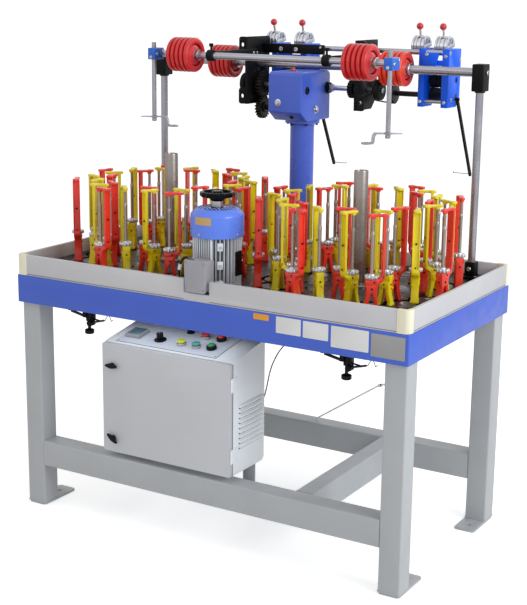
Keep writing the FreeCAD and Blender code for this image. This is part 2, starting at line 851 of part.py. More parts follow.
def make_belts():
    belts = []
    y0, z0, y1, z1 = cross_shaft_y, cross_shaft_z, roller_y, driven_z
    line = degrees(atan2(z1 - z0, y1 - y0))
    length = hypot(z1 - z0, y1 - y0)
    inner = (belt_pulley_radius + belt_gap) / cos(radians(belt_step / 2))
    for sx in (-1, 1):
        x0, x1 = mirrored_span(sx, belt_pulley_x + 2, belt_pulley_x + belt_pulley_width - 2)
        loops = []
        for radius in (inner + belt_thickness, inner):
            points = [(radius * cos(radians(a)), radius * sin(radians(a))) for a in range(90, 271, belt_step)]
            points += [(length + radius * cos(radians(a)), radius * sin(radians(a)))
                       for a in range(270, 451, belt_step)]
            loops.append([(y0 + u * cos(radians(line)) - v * sin(radians(line)),
                           z0 + u * sin(radians(line)) + v * cos(radians(line))) for u, v in points])
        belts.append(prism(loops[0], "x", x0, x1).cut(prism(loops[1], "x", x0 - 1, x1 + 1)))
    save("drive_belts", belts)


# --- pulleys and guides --------------------------------------------------
def make_pulley(node, x, y, z, bar_radius):
    rib = pulley_length / pulley_ribs
    profile = [(pulley_radius - 4, 0.0)]
    for k in range(pulley_ribs):
        start = k * rib
        profile.append((pulley_radius, start + 0.5 * rib))
        if k < pulley_ribs - 1:
            profile.append((pulley_root, start + rib))
    profile.append((pulley_radius - 4, pulley_length))
    wheel = along_x(turned(profile, pulley_sides), x - pulley_length / 2, y, z)
    bore = rod_x(x - pulley_length, x + pulley_length, y, z, bore_for(bar_radius))
    save(node, [wheel.cut(bore)])


def make_pulleys():
    for side, x in zip(("left", "right"), front_pulley_x):
        make_pulley("front_pulley_" + side, x, front_bar_y, front_bar_z, front_bar_radius)
    for side, x in zip(("left", "right"), rear_pulley_x):
        make_pulley("rear_pulley_" + side, x, rear_bar_y, rear_bar_z, rear_bar_radius)


def make_guides():
    clamps = []
    rods = []
    for side, x in zip(("left", "right"), guide_x):
        block = box(x - guide_clamp_width / 2, x + guide_clamp_width / 2, guide_clamp_front,
                    guide_clamp_back, front_bar_z - guide_clamp_height / 2,
                    front_bar_z + guide_clamp_height / 2)
        block = block.cut(rod_x(front_bar_left, front_bar_right, front_bar_y, front_bar_z, front_bar_radius))
        block = block.cut(rod_z(0, guide_rod_top + 1, x, guide_rod_y, guide_rod_radius))
        clamps.append(block)
        rods.append(rod_z(guide_rod_bottom, guide_rod_top, x, guide_rod_y, guide_rod_radius))
        make_guide_arm(side, x)
    save("guide_clamps", clamps)
    save("guide_rods", rods)


def make_guide_arm(side, x):
    """Cranked arm under the rod: a tail, a drop and a flat yarn eye at the bottom."""
    top = guide_rod_bottom - part_gap
    t, half = guide_arm_thickness, guide_arm_width / 2
    low = top - guide_arm_drop
    reach = guide_arm_reach
    tip = reach + guide_eye_radius
    crank = prism([(-guide_arm_tail, top), (-guide_arm_tail, top - t), (reach - t, top - t),
                   (reach - t, low - t), (tip, low - t), (tip, low), (reach, low), (reach, top)],
                  "y", -half, half)
    hub = prism(ring_points(guide_hub_radius, 8), "z", top - t, top)
    nut = prism(ring_points(guide_nut_radius, 6), "z", top - t - guide_nut_height, top - t)
    eye_centre = (tip + 6, 0.0)
    eye = prism(ring_points(guide_eye_radius, 10, eye_centre), "z", low - t, low)
    hole = prism(ring_points(guide_eye_hole, 8, eye_centre), "z", low - t - 1, low + 1)
    arm = crank.fuse(hub).fuse(nut).fuse(eye).cut(hole)
    arm.rotate(Vector(0, 0, 0), Vector(0, 0, 1), guide_arm_turn + (0 if side == "left" else 180))
    arm.translate(Vector(x, guide_rod_y, 0))
    save("guide_arm_" + side, [arm])


# --- nip units -----------------------------------------------------------
def make_nip_units():
    plates = []
    driven = []
    press = []
    for side, x, width in zip(("left", "right"), unit_x, unit_width):
        right0 = x + width - right_plate_thickness
        profile = [(unit_front, unit_bottom), (unit_back - unit_chamfer, unit_bottom),
                   (unit_back, unit_bottom + unit_chamfer), (unit_back, unit_top), (unit_front, unit_top)]
        for x0, x1 in ((x, x + left_plate_thickness), (right0, x + width)):
            plate = prism(profile, "x", x0, x1)
            plate = plate.cut(rod_x(x0 - 1, x1 + 1, tie_bar_y, tie_bar_z, tie_bar_radius))
            for z in (driven_z, press_z):
                plate = plate.cut(rod_x(x0 - 1, x1 + 1, roller_y, z, bore_for(shaft_radius)))
            plates.append(plate)
        gap0, gap1 = x + left_plate_thickness, right0
        mid = (gap0 + gap1) / 2 + wedge_shift
        high = unit_top - wedge_below_top
        wedge = [(mid - wedge_top_half, high), (mid - wedge_foot_half, high - wedge_height),
                 (mid + wedge_foot_half, high - wedge_height), (mid + wedge_top_half, high)]
        plates.append(prism(wedge, "y", unit_front - press_plate_thickness, unit_front))
        plates.append(box(gap0, gap1, unit_front, unit_front + link_thickness,
                          unit_top - link_span[1], unit_top - link_span[0]))
        body0, body1 = gap0 + roller_side_gap, gap1 - roller_side_gap
        pulley0 = belt_pulley_x if side == "right" else -belt_pulley_x - belt_pulley_width
        pulley1, end = pulley0 + belt_pulley_width, x + width
        r = shaft_radius
        driven.append(steps_x([(pulley0 - 6, pulley0, r), (pulley0, pulley1, belt_pulley_radius),
                               (pulley1, body0, r), (body0, body1, driven_radius), (body1, end, r)],
                              roller_y, driven_z, round_sides))
        press.append(steps_x([(x + 2, body0, r), (body0, body1, press_radius), (body1, end - 2, r)],
                             roller_y, press_z, round_sides))
        make_cam_lever(side + "_outer", x - part_gap)
        make_cam_lever(side + "_inner", right0 - part_gap)
        make_stop_arm(side, x + width)
    save("nip_side_plates", plates)
    save("driven_rollers", driven)
    save("press_rollers", press)


def make_cam_lever(name, x1):
    """Half-round cam ending beside a plate, with its lever and ball leaning to the front."""
    x0 = x1 - cam_width
    start = -degrees(asin(cam_flat / cam_radius))
    steps = 8
    span = 180.0 - 2 * start
    outline = [(cam_radius * cos(radians(start + span * k / steps)),
                cam_radius * sin(radians(start + span * k / steps))) for k in range(steps + 1)]
    cam = prism(outline, "x", x0, x1)
    mid = (x0 + x1) / 2
    rise = ball_z - cam_z
    lever = prism(ring_points(lever_radius, 6, (mid, 0.0)), "z", cam_radius - 8, rise - 4)
    r = ball_radius
    ball = turned([(0.38 * r, -0.92 * r), (0.92 * r, -0.38 * r), (0.92 * r, 0.38 * r), (0.38 * r, 0.92 * r)], 8)
    ball.translate(Vector(mid, 0, rise))
    whole = cam.fuse(lever).fuse(ball)
    whole.rotate(Vector(0, 0, 0), Vector(1, 0, 0), cam_lean)
    whole.translate(Vector(0, roller_y, cam_z))
    save("cam_lever_" + name, [whole])


def make_stop_arm(side, plate_x):
    """Flat drop arm on a pin at the unit's right-hand plate."""
    x0 = plate_x + stop_arm_x_gap
    half = stop_arm_width / 2
    outline = [(-half, half), (half, half), (half, -stop_arm_length + 6), (0, -stop_arm_length),
               (-half, -stop_arm_length + 6)]
    arm = prism(outline, "x", x0, x0 + stop_arm_thickness)
    arm.rotate(Vector(0, 0, 0), Vector(1, 0, 0), stop_arm_lean)
    arm.translate(Vector(0, stop_pivot_y(), stop_pivot_z))
    pin = prism(ring_points(stop_pin_radius, 12, (stop_pivot_y(), stop_pivot_z)), "x",
                plate_x + part_gap, x0 + stop_arm_thickness + 4)
    save("stop_arm_" + side, [arm.fuse(pin)])


def stop_pivot_y():
    return unit_back - unit_chamfer - 8


# --- core tensioners -----------------------------------------------------
def make_tensioners():
    solids = []
    for sx in (-1, 1):
        x, y = sx * tensioner_x, tensioner_y
        (knob_low, knob_high), (low, high) = tensioner_knob, tensioner_block
        solids.append(box(x - hanger_half, x + hanger_half, y - hanger_half, y + hanger_half, high,
                          apron_top))
        solids.append(box(x - tensioner_half_x, x + tensioner_half_x, y - tensioner_half_y,
                          y + tensioner_half_y, low, high))
        solids.append(prism(ring_points(tensioner_screw_radius, 8, (x, y)), "z", knob_high, low))
        knob = prism(ring_points(tensioner_knob_radius, round_sides, (x, y)), "z", knob_low, knob_high)
        solids.append(knob)
    save("core_tensioners", solids)


# --- control cabinet -----------------------------------------------------
def top_z(y):
    return cabinet_front_top + (y - cabinet_front) * cabinet_rise


def make_cabinet():
    t = cabinet_sheet
    front, back = body_front, cabinet_back
    low = cabinet_bottom
    side = [(front, low), (back - cabinet_chamfer, low), (back, low + cabinet_chamfer),
            (back, top_z(back)), (front, top_z(front))]
    left, right = cabinet_left, cabinet_right
    inner0, inner1 = left + t, right - t
    solids = [prism(side, "x", left, inner0), prism(side, "x", inner1, right)]
    solids.append(box(inner0, inner1, front, back - cabinet_chamfer, low, low + t))
    solids.append(box(inner0, inner1, back - t, back, low + cabinet_chamfer, top_z(back - t) - t))
    slant = [(back - cabinet_chamfer, low), (back, low + cabinet_chamfer), (back - t, low + cabinet_chamfer),
             (back - cabinet_chamfer, low + t)]
    solids.append(prism(slant, "x", inner0, inner1))
    cap = [(front, top_z(front) - t), (back, top_z(back) - t), (back, top_z(back)), (front, top_z(front))]
    solids.append(prism(cap, "x", inner0, inner1))
    for k in range(louvre_count):
        z = louvre_bottom + louvre_pitch * k
        solids.append(prism([(right, z), (right + 4, z), (right, z + 0.7 * louvre_pitch)], "y",
                            louvre_front, back - 8))
    save("cabinet_body", solids)
    door_right = right - part_gap
    door = box(left, door_right, cabinet_front, door_back, low, cabinet_front_top)
    save("cabinet_door", [door])
    hinges = []
    for z in (low + 50, cabinet_front_top - 50 - hinge_height):
        barrel = prism(ring_points(hinge_radius, 8, hinge_axis(), 22.5), "z", z, z + hinge_height)
        leaf = box(right, right + 3, hinge_axis()[1], front + 30, z, z + hinge_height)
        hinges.append(barrel.fuse(leaf))
    save("door_hinges", hinges)
    brackets = []
    reach = leg_outer_y - leg_side
    for x in bracket_x:
        y, b, s = bracket_y, bracket_bottom, bracket_sheet
        brackets.append(prism([(-reach, b), (y, b), (y, low), (y - s, low), (y - s, b + s), (-reach, b + s)],
                              "x", x, x + bracket_width))
    save("cabinet_brackets", brackets)
    for name, z, tilt in zip(("lower", "upper"), latch_heights, latch_tilt):
        save("latch_" + name, [make_latch(z, tilt)])


def hinge_axis():
    return cabinet_right + hinge_radius, cabinet_front + 6.0


def make_latch(z, tilt):
    """Wing knob turning about Y on the front of the door."""
    y = cabinet_front
    face = y - part_gap - latch_hub
    hub = prism(ring_points(latch_radius, round_sides), "y", face, y - part_gap)
    wing = prism(wing_half + [(-a, -b) for a, b in wing_half], "y", face - latch_wing, face)
    latch = hub.fuse(wing)
    latch.rotate(Vector(0, 0, 0), Vector(0, 1, 0), -tilt)
    latch.translate(Vector(latch_x, 0, z))
    return latch


def on_panel(shape, x, run, lift):
    """Place a shape, built upright at the origin, on the sloping cabinet top."""
    shape.translate(Vector(0, 0, lift))
    shape.rotate(Vector(0, 0, 0), Vector(1, 0, 0), cabinet_slope)
    slope = radians(cabinet_slope)
    shape.translate(Vector(x, cabinet_front + run * cos(slope), cabinet_front_top + run * sin(slope)))
    return shape


panel_items = {"speed_knob": (-227.0, 90.0), "mode_selector": (-158.0, 186.0), "jog_button": (-129.0, 82.0),
               "start_button": (-66.0, 82.0), "stop_button": (-78.0, 164.0)}
lamp_items = ((-8.0, 92.0), (-14.0, 168.0))


def make_controls():
    plate = box(panel_left, panel_right, 0, panel_end - panel_start, 0, panel_thickness)
    panel = [on_panel(plate, 0, panel_start, 0.0)]
    left, right, run, end, height = display_box
    panel.append(on_panel(box(left, right, 0, end - run, 0, height), 0, run, panel_thickness))
    outer, inner = bezel_radius, button_radius + 0.4
    for name in ("jog_button", "start_button", "stop_button"):
        x, run = panel_items[name]
        ring = turned([(outer, 0), (outer, bezel_height), (inner, bezel_height), (inner, 0)],
                      control_sides, closed=True)
        panel.append(on_panel(ring, x, run, panel_thickness))
        cap = turned([(button_radius, 0), (button_radius, bezel_height - 2.0)], control_sides)
        save(name, [on_panel(cap, x, run, panel_thickness + button_travel + part_gap)])
    save("control_panel", panel)
    lamps = []
    for x, run in lamp_items:
        lamp = turned(lamp_profile, lamp_sides)
        lamps.append(on_panel(lamp, x, run, panel_thickness))
    save("pilot_lamps", lamps)
    x, run = panel_items["speed_knob"]
    knob = turned(knob_profile, control_sides)
    save("speed_knob", [on_panel(knob, x, run, panel_thickness + part_gap)])
    x, run = panel_items["mode_selector"]
    dial = turned([(dial_radius, 0), (dial_radius, dial_height)], control_sides)
    half_x, half_y, top = dial_bar
    dial = dial.fuse(box(-half_x, half_x, -half_y, half_y, dial_height - 1, top))
    save("mode_selector", [on_panel(dial, x, run, panel_thickness + part_gap)])


def main():
    os.makedirs("parts", exist_ok=True)
    make_legs()
    make_foot_plates()
    make_rails()
    make_apron()
    make_bed_plate()
    make_tray()
    make_track()
    make_horn_gears()
    make_carriers()
    make_centre_tubes()
    make_motor()
    make_column()
    make_gearbox()
    make_posts()
    make_bars()
    make_side_brackets()
    make_cross_shaft()
    make_belts()
    make_pulleys()
    make_guides()
    make_nip_units()
    make_tensioners()
    make_cabinet()
    make_controls()


main()
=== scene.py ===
"""Looks of the two-head maypole cord braiding machine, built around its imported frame.

Shapes are drawn in millimetres, and piece() scales each finished one to metres.
"""
import random
from math import atan2, cos, degrees, hypot, pi, radians, sin, tan

import bmesh
import bpy
from mathutils import Matrix, Vector


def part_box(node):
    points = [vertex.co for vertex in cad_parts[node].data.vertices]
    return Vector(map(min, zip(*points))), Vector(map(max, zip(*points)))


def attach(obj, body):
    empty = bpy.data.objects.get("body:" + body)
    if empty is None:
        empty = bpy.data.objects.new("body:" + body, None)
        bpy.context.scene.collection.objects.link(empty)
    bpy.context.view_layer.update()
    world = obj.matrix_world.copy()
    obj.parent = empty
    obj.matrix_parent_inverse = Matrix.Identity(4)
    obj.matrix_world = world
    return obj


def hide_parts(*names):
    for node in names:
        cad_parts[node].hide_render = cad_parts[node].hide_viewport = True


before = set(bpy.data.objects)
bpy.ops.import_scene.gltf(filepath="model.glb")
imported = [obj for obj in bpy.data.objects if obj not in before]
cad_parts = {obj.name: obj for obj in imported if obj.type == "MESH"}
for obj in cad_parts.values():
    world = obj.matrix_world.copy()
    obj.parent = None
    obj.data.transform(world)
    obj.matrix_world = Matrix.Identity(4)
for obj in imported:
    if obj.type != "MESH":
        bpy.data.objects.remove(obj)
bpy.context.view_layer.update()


random.seed(16)

# ---------------------------------------------------------------- sizes (mm)
MM = 0.001
SIDES = (-1, 1)
UP, FORWARD = (0, 0, 1), (0, -1, 0)
TABLE_X, TABLE_Y = 800.0, 430.0
FOOT_PLATE = 8.0
LEG_X, LEG_Y = (711.0, 791.0), (333.5, 413.5)
RAIL_Z, CROSS_RAIL_X = (162.0, 262.0), 385.0
APRON_Z, TRAY_Z = (800.0, 903.0), (903.0, 980.0)
TRAY_END, TRAY_NOTCH = 755.0, 52.0
DECK_LOW, DECK = 915.0, 930.0
HEADS = (-400.0, 400.0)
GEARS = 16
GEAR_STEP = 360.0 / GEARS
GEAR_SPACING = 116.0
RING = GEAR_SPACING / 2 / sin(radians(GEAR_STEP / 2))
CROSSING = RING * cos(radians(GEAR_STEP / 2))
GROOVE_REACH = 65.0
MOTOR_Y, COLUMN_Y = -298.0, 288.0
POST_X, GUIDE_ROD_Y, SPRING_BLOCK_X = 680.0, -28.0, 537.0
FRONT_BAR_Z = 1708.0
REAR_BAR_Y, REAR_BAR_Z = 353.0, 1668.0
TIE_BAR_Y, TIE_BAR_Z = 410.0, 1728.0
SHAFT_Y, SHAFT_Z, LOWER_SHAFT_Z = 352.0, 1587.0, 1499.0
ROLLER_Y, DRIVEN_Z, PRESS_Z = 470.0, 1570.0, 1628.4
BELT_WHEEL_X = {"left": -298.0, "right": 276.0}
CAM_Z, CAM_WIDTH = 1748.0, 50.0
STOP_ARM_Y, STOP_ARM_Z, STOP_ARM_LENGTH = 467.0, 1560.0, 330.0
CABINET_X, CABINET_Z = (-424.0, 126.0), (283.0, 693.0)
CABINET_FRONT, CABINET_BACK, DOOR_FRONT = -391.7, -177.0, -410.0
CABINET_SLOPE = 10.0


def node_box(name):
    """Low and high corner of a frame node, in millimetres."""
    low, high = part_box(name)
    return low / MM, high / MM


def into_scene(name, data):
    thing = bpy.data.objects.new(name, data)
    bpy.context.scene.collection.objects.link(thing)
    return thing


# ---------------------------------------------------------------- camera
CAMERA_PLACE = Vector((2460.1, -4086.7, 1962.1)) * MM
CAMERA_YAW = radians(30.93)
CAMERA_PITCH = radians(13.51)
CAMERA_ROLL = radians(0.67)
FOCAL_LENGTH = 78.83


def make_camera():
    data = bpy.data.cameras.new("photo_camera")
    data.sensor_fit = "VERTICAL"
    data.sensor_height = 36.0
    data.lens = FOCAL_LENGTH
    data.clip_end = 60.0
    camera = into_scene("photo_camera", data)
    ahead = Vector((-sin(CAMERA_YAW) * cos(CAMERA_PITCH), cos(CAMERA_YAW) * cos(CAMERA_PITCH),
                    -sin(CAMERA_PITCH)))
    right = Vector((cos(CAMERA_YAW), sin(CAMERA_YAW), 0.0))
    up = right.cross(ahead)
    side = cos(CAMERA_ROLL) * right + sin(CAMERA_ROLL) * up
    top = -sin(CAMERA_ROLL) * right + cos(CAMERA_ROLL) * up
    turn = Matrix((side, top, -ahead)).transposed().to_4x4()
    camera.matrix_world = Matrix.Translation(CAMERA_PLACE) @ turn
    bpy.context.scene.camera = camera


make_camera()


# ---------------------------------------------------------------- finishes
def linear(red, green, blue):
    """A colour named by its 0 to 255 screen values, for a shader."""
    values = [value / 255.0 for value in (red, green, blue)]
    return [v / 12.92 if v <= 0.04045 else ((v + 0.055) / 1.055) ** 2.4 for v in values] + [1.0]


def feed(tree, target, inputs):
    """Set a node's inputs, or link those that are given as another node's output."""
    for label, value in inputs.items():
        if isinstance(value, bpy.types.NodeSocket):
            tree.links.new(value, target.inputs[label])
        else:
            target.inputs[label].default_value = value


def node(tree, kind, inputs, **settings):
    made = tree.nodes.new("ShaderNode" + kind)
    for label, value in settings.items():
        setattr(made, label, value)
    feed(tree, made, inputs)
    return made


def new_group(name, inputs, outputs):
    group = bpy.data.node_groups.new(name, "ShaderNodeTree")
    for label, kind, value in inputs:
        socket = group.interface.new_socket(label, in_out="INPUT", socket_type="NodeSocket" + kind)
        socket.default_value = value
    for label, kind in outputs:
        group.interface.new_socket(label, in_out="OUTPUT", socket_type="NodeSocket" + kind)
    return group, group.nodes.new("NodeGroupInput"), group.nodes.new("NodeGroupOutput")


def noise(tree, scale, detail, stretch=(1.0, 1.0, 1.0)):
    place = node(tree, "TexCoord", {}).outputs["Object"]
    place = node(tree, "Mapping", {"Vector": place, "Scale": stretch}).outputs["Vector"]
    made = node(tree, "TexNoise", {"Vector": place, "Scale": scale, "Detail": detail})
    return made.outputs["Fac"]


def uneven(tree, scale, detail, low, high, share, base):
    """Patches of noise from low to high, times a share and on top of a base value."""
    patches = node(tree, "MapRange", {"Value": noise(tree, scale, detail), "From Min": 0.3,
                                      "From Max": 0.7, "To Min": low, "To Max": high})
    return node(tree, "Math", {0: patches.outputs["Result"], 1: share, 2: base},
                operation="MULTIPLY_ADD").outputs[0]


def make_coat_group():
    """Paint, plastic or metal that varies a little: tone, roughness and skin height."""
    group, source, result = new_group(
        "uneven_coat", [("Color", "Color", (0.8, 0.8, 0.8, 1.0)), ("Tone", "Float", 0.1),
                        ("Roughness", "Float", 0.4), ("Spread", "Float", 0.1)],
        [("Color", "Color"), ("Roughness", "Float"), ("Skin", "Float")])
    given = source.outputs
    shade = uneven(group, 5.0, 4.0, -1.0, 0.6, given["Tone"], 1.0)
    tint = node(group, "VectorMath", {0: given["Color"], "Scale": shade}, operation="SCALE")
    feed(group, result, {
        "Color": tint.outputs["Vector"], "Skin": noise(group, 420.0, 2.0),
        "Roughness": uneven(group, 22.0, 5.0, -0.5, 1.0, given["Spread"], given["Roughness"])})
    return group


def make_grain_group():
    """Long fine scratches of brushed, ground or turned metal along one axis."""
    group, source, result = new_group(
        "tool_marks", [("Along", "Vector", (1.0, 40.0, 40.0))], [("Marks", "Float")])
    feed(group, result, {"Marks": noise(group, 22.0, 4.0, source.outputs["Along"])})
    return group


COAT = make_coat_group()
GRAIN = make_grain_group()
BUMP_HEIGHT = 0.0006
CLEAR_ROUGHNESS = 0.12


def coat(name, colour, roughness=0.4, spread=0.12, tone=0.08, metallic=0.0, skin=0.05,
         clear=0.0, specular=0.5, grain=None, grain_strength=0.25):
    """A Principled material fed by the coat group, with optional tool marks along an axis."""
    material = bpy.data.materials.new(name)
    material.use_nodes = True
    tree = material.node_tree
    body = node(tree, "Group", {"Color": linear(*colour), "Tone": tone, "Roughness": roughness,
                                "Spread": spread}, node_tree=COAT).outputs
    height = body["Skin"]
    if grain:
        height = node(tree, "Group", {"Along": grain}, node_tree=GRAIN).outputs["Marks"]
    bump = node(tree, "Bump", {"Strength": grain_strength if grain else skin,
                               "Distance": BUMP_HEIGHT, "Height": height})
    feed(tree, tree.nodes["Principled BSDF"], {
        "Base Color": body["Color"], "Roughness": body["Roughness"], "Metallic": metallic,
        "Coat Weight": clear, "Coat Roughness": CLEAR_ROUGHNESS, "Specular IOR Level": specular,
        "Normal": bump.outputs["Normal"]})
    return material


EVEN_GRAIN = (60.0, 60.0, 60.0)
FRAME_GREY = coat("frame_grey_paint", (182, 184, 186), 0.42, tone=0.05)
APRON_BLUE = coat("apron_blue_paint", (64, 98, 206), 0.34, tone=0.06, clear=0.1)
GEARBOX_BLUE = coat("gearbox_blue_paint", (72, 104, 216), 0.36, tone=0.09,
                    skin=0.22, clear=0.15)
COLUMN_BLUE = coat("column_blue_paint", (74, 104, 216), 0.3, tone=0.02, clear=0.2)
COVER_BLUE = coat("fan_cover_blue_paint", (96, 134, 244), 0.3, tone=0.04, clear=0.2)
NIP_BLUE = coat("nip_blue_paint", (20, 100, 248), 0.34, tone=0.06, clear=0.05,
                specular=0.25)
CLAMP_BLUE = coat("clamp_blue_paint", (24, 100, 206), 0.36, clear=0.1)
CARRIER_RED = coat("carrier_red_paint", (246, 58, 40), 0.28, tone=0.14, clear=0.3,
                   skin=0.12)
CARRIER_YELLOW = coat("carrier_yellow_paint", (240, 218, 14), 0.28, tone=0.14,
                      clear=0.3, skin=0.12)
PULLEY_RED = coat("pulley_red_plastic", (214, 36, 38), 0.3, tone=0.05, clear=0.2)
PULLEY_ORANGE = coat("pulley_orange_plastic", (236, 64, 38), 0.3, tone=0.05,
                     clear=0.2)
BALL_RED = coat("ball_red_plastic", (206, 36, 48), 0.22, tone=0.04, clear=0.3)
CREAM = coat("cream_plastic", (240, 234, 208), 0.45, tone=0.03)
TRAY_METAL = coat("tray_aluminium", (203, 202, 205), 0.42, tone=0.04,
                  metallic=0.15, grain=(2.0, 2.0, 60.0))
PANEL_PLATE = coat("control_plate", (222, 227, 240), 0.36, tone=0.03)
# near black: the own dark of the tray seams and door gap, and painted shade for the fan cover
# slots and the rim round the control plate
DARK_JOINT_AND_SHADE = coat("dark_joints_and_painted_shade", (14, 14, 16), 0.7, tone=0.2)
DECK_STEEL = coat("oiled_deck_steel", (54, 52, 55), 0.32, 0.3, 0.4, 0.7)
QUOIT_STEEL = coat("quoit_steel", (96, 94, 96), 0.3, 0.2, 0.3, 0.85)
GEAR_IRON = coat("horn_gear_iron", (66, 66, 70), 0.42, 0.2, 0.3, 0.8)
BRIGHT_STEEL = coat("bright_steel", (200, 199, 202), 0.26, metallic=1.0,
                    grain=EVEN_GRAIN, grain_strength=0.04)
BAR_CHROME = coat("ground_bar_steel", (172, 172, 180), 0.24, 0.1, 0.06, 0.85,
                  grain=EVEN_GRAIN, grain_strength=0.04)
TUBE_STEEL = coat("centre_tube_steel", (152, 144, 140), 0.26, tone=0.06,
                  metallic=0.9, grain=(90.0, 90.0, 1.0), grain_strength=0.05)
CROWN_METAL = coat("crown_cast_alloy", (206, 208, 212), 0.3, tone=0.1,
                   metallic=0.85, skin=0.2)
SPINDLE_STEEL = coat("carrier_spindle_steel", (170, 158, 150), 0.28, 0.14, 0.14,
                     0.75)
CHROME = coat("polished_chrome", (206, 209, 216), 0.16, 0.08, 0.05, 0.9)
MOTOR_GREY = coat("motor_cast_grey", (228, 231, 236), 0.36, tone=0.1, metallic=0.2,
                  skin=0.3)
# painted shade on the motor core between the fins and in the strips under the cabinet louvres;
# also the own dark grey of the cable boot and cabinet supply cable
SHADE_AND_DARK_GREY = coat("painted_shade_and_dark_grey", (92, 96, 103), 0.5, tone=0.15,
                   metallic=0.2, skin=0.3)
BOX_GREY = coat("terminal_box_grey", (166, 165, 171), 0.42, tone=0.04, skin=0.15)
CABINET_GREY = coat("cabinet_door_paint", (205, 206, 210), 0.48, tone=0.025,
                    skin=0.12)
CABINET_SIDE = coat("cabinet_body_paint", (247, 250, 253), 0.46, tone=0.025,
                    skin=0.12)
BLACK_OXIDE = coat("black_oxide", (14, 14, 16), 0.42, tone=0.25, specular=0.14)
GEAR_BLACK = coat("oiled_gear_steel", (52, 46, 40), 0.34, 0.2, 0.3, 0.7)
ROLLER_STEEL = coat("knurled_roller_steel", (30, 30, 33), 0.36, 0.2, 0.2, 0.3)
BLACK_PLASTIC = coat("black_plastic", (12, 12, 14), 0.32, 0.14, 0.1, specular=0.2)
BLACK_GLOSS = coat("black_gloss_plastic", (5, 5, 7), 0.2, 0.08, 0.05,
                   specular=0.12)
DISPLAY_GLASS = coat("display_glass", (104, 134, 140), 0.14, clear=0.5)
RUBBER = coat("drive_rubber", (20, 20, 21), 0.6, tone=0.15, skin=0.3, specular=0.2)
BUTTON_YELLOW = coat("button_yellow_lens", (222, 226, 40), 0.3, tone=0.05,
                     clear=0.3)
BUTTON_GREEN = coat("button_green_lens", (74, 168, 152), 0.3, tone=0.05, clear=0.3)
BUTTON_RED = coat("button_red_lens", (206, 70, 84), 0.3, tone=0.05, clear=0.3)
LAMP_GREEN = coat("lamp_green_lens", (8, 150, 84), 0.16, tone=0.1, clear=0.5)
LAMP_RED = coat("lamp_red_lens", (196, 22, 34), 0.16, tone=0.1, clear=0.5)
PLATE_WHITE = coat("blank_plate_white", (226, 226, 224), tone=0.03)
PLATE_AMBER = coat("blank_plate_amber", (236, 160, 40), tone=0.05)
PLATE_BRUSHED = coat("blank_plate_brushed", (160, 158, 158), 0.36, tone=0.05,
                     metallic=0.5, grain=(4.0, 4.0, 90.0))
PLATE_OCHRE = coat("blank_plate_ochre", (204, 166, 104), tone=0.05)


# ---------------------------------------------------------------- drawing tools
def add(whole, part, *places):
    """Put a drawing into a shape, once for each place, and drop the drawing."""
    for place in places or (Matrix(),):
        mesh = bpy.data.meshes.new("drawing")
        part.to_mesh(mesh)
        mesh.transform(place)
        if place.determinant() < 0:
            mesh.flip_normals()
        whole.from_mesh(mesh)
        bpy.data.meshes.remove(mesh)
    part.free()
    return whole


def join(*parts):
    """One shape of several; each is a drawing, or a tuple of a drawing and its places."""
    whole = bmesh.new()
    for part in parts:
        add(whole, *(part if isinstance(part, tuple) else (part,)))
    return whole


def soften(part, width, segments=2, limit=30.0):
    """Round every edge that turns by more than the limit, in degrees."""
    bmesh.ops.recalc_face_normals(part, faces=part.faces)
    sharp = [e for e in part.edges
             if len(e.link_faces) == 2 and e.calc_face_angle(0.0) > radians(limit)]
    bmesh.ops.bevel(part, geom=sharp, offset=width, offset_type="OFFSET", segments=segments,
                    profile=0.5, affect="EDGES", clamp_overlap=True, material=-1)
    return part


def block(low, high, width=0.0, segments=2):
    part = bmesh.new()
    low, high = Vector(low), Vector(high)
    place = Matrix.Translation((low + high) / 2) @ Matrix.Diagonal(high - low).to_4x4()
    bmesh.ops.create_cube(part, size=1.0, matrix=place)
    return soften(part, width, segments) if width else part


def along_matrix(along):
    """Rotation that lays the Z axis along a direction."""
    return Vector(along).to_track_quat("Z", "Y").to_matrix().to_4x4()


def rod(start, end, radius, end_radius=None, sides=32, width=0.0):
    part = bmesh.new()
    start, end = Vector(start), Vector(end)
    bmesh.ops.create_cone(part, cap_ends=True, segments=sides, radius1=radius,
                          radius2=radius if end_radius is None else end_radius,
                          depth=(end - start).length,
                          matrix=Matrix.Translation((start + end) / 2) @ along_matrix(end - start))
    return soften(part, width, 1, 50.0) if width else part


def bar_x(x0, x1, y, z, radius, sides=28, width=0.0):
    return rod((x0, y, z), (x1, y, z), radius, None, sides, width)


def plate(outline, low, high, holes=(), width=0.0, segments=2, limit=30.0):
    """A flat plate drawn in XY and thickened along Z, with holes and rounded edges."""
    part, edges = bmesh.new(), []
    for loop in (outline, *holes):
        corners = [part.verts.new((x, y, low)) for x, y in loop]
        edges += [part.edges.new(pair) for pair in zip(corners, corners[1:] + corners[:1])]
    bmesh.ops.triangle_fill(part, use_beauty=True, use_dissolve=False, edges=edges)
    raised = bmesh.ops.extrude_face_region(part, geom=part.faces[:])["geom"]
    corners = [g for g in raised if isinstance(g, bmesh.types.BMVert)]
    bmesh.ops.translate(part, verts=corners, vec=(0, 0, high - low))
    bmesh.ops.recalc_face_normals(part, faces=part.faces)
    bmesh.ops.dissolve_limit(part, angle_limit=radians(0.5), verts=part.verts, edges=part.edges,
                             use_dissolve_boundaries=False, delimit=set())
    return soften(part, width, segments, limit) if width else part


def turned(profile, sides=48, width=0.0):
    """A lathe shape about Z from (radius, height) pairs; a zero radius closes the end."""
    part = bmesh.new()
    line = [part.verts.new((radius, 0.0, height)) for radius, height in profile]
    edges = [part.edges.new(pair) for pair in zip(line, line[1:])]
    bmesh.ops.spin(part, geom=line + edges, cent=(0, 0, 0), axis=(0, 0, 1), dvec=(0, 0, 0),
                   angle=2 * pi, steps=sides, use_merge=True, use_duplicate=False)
    bmesh.ops.remove_doubles(part, verts=part.verts, dist=0.001)
    bmesh.ops.recalc_face_normals(part, faces=part.faces)
    return soften(part, width, 2, 35.0) if width else part


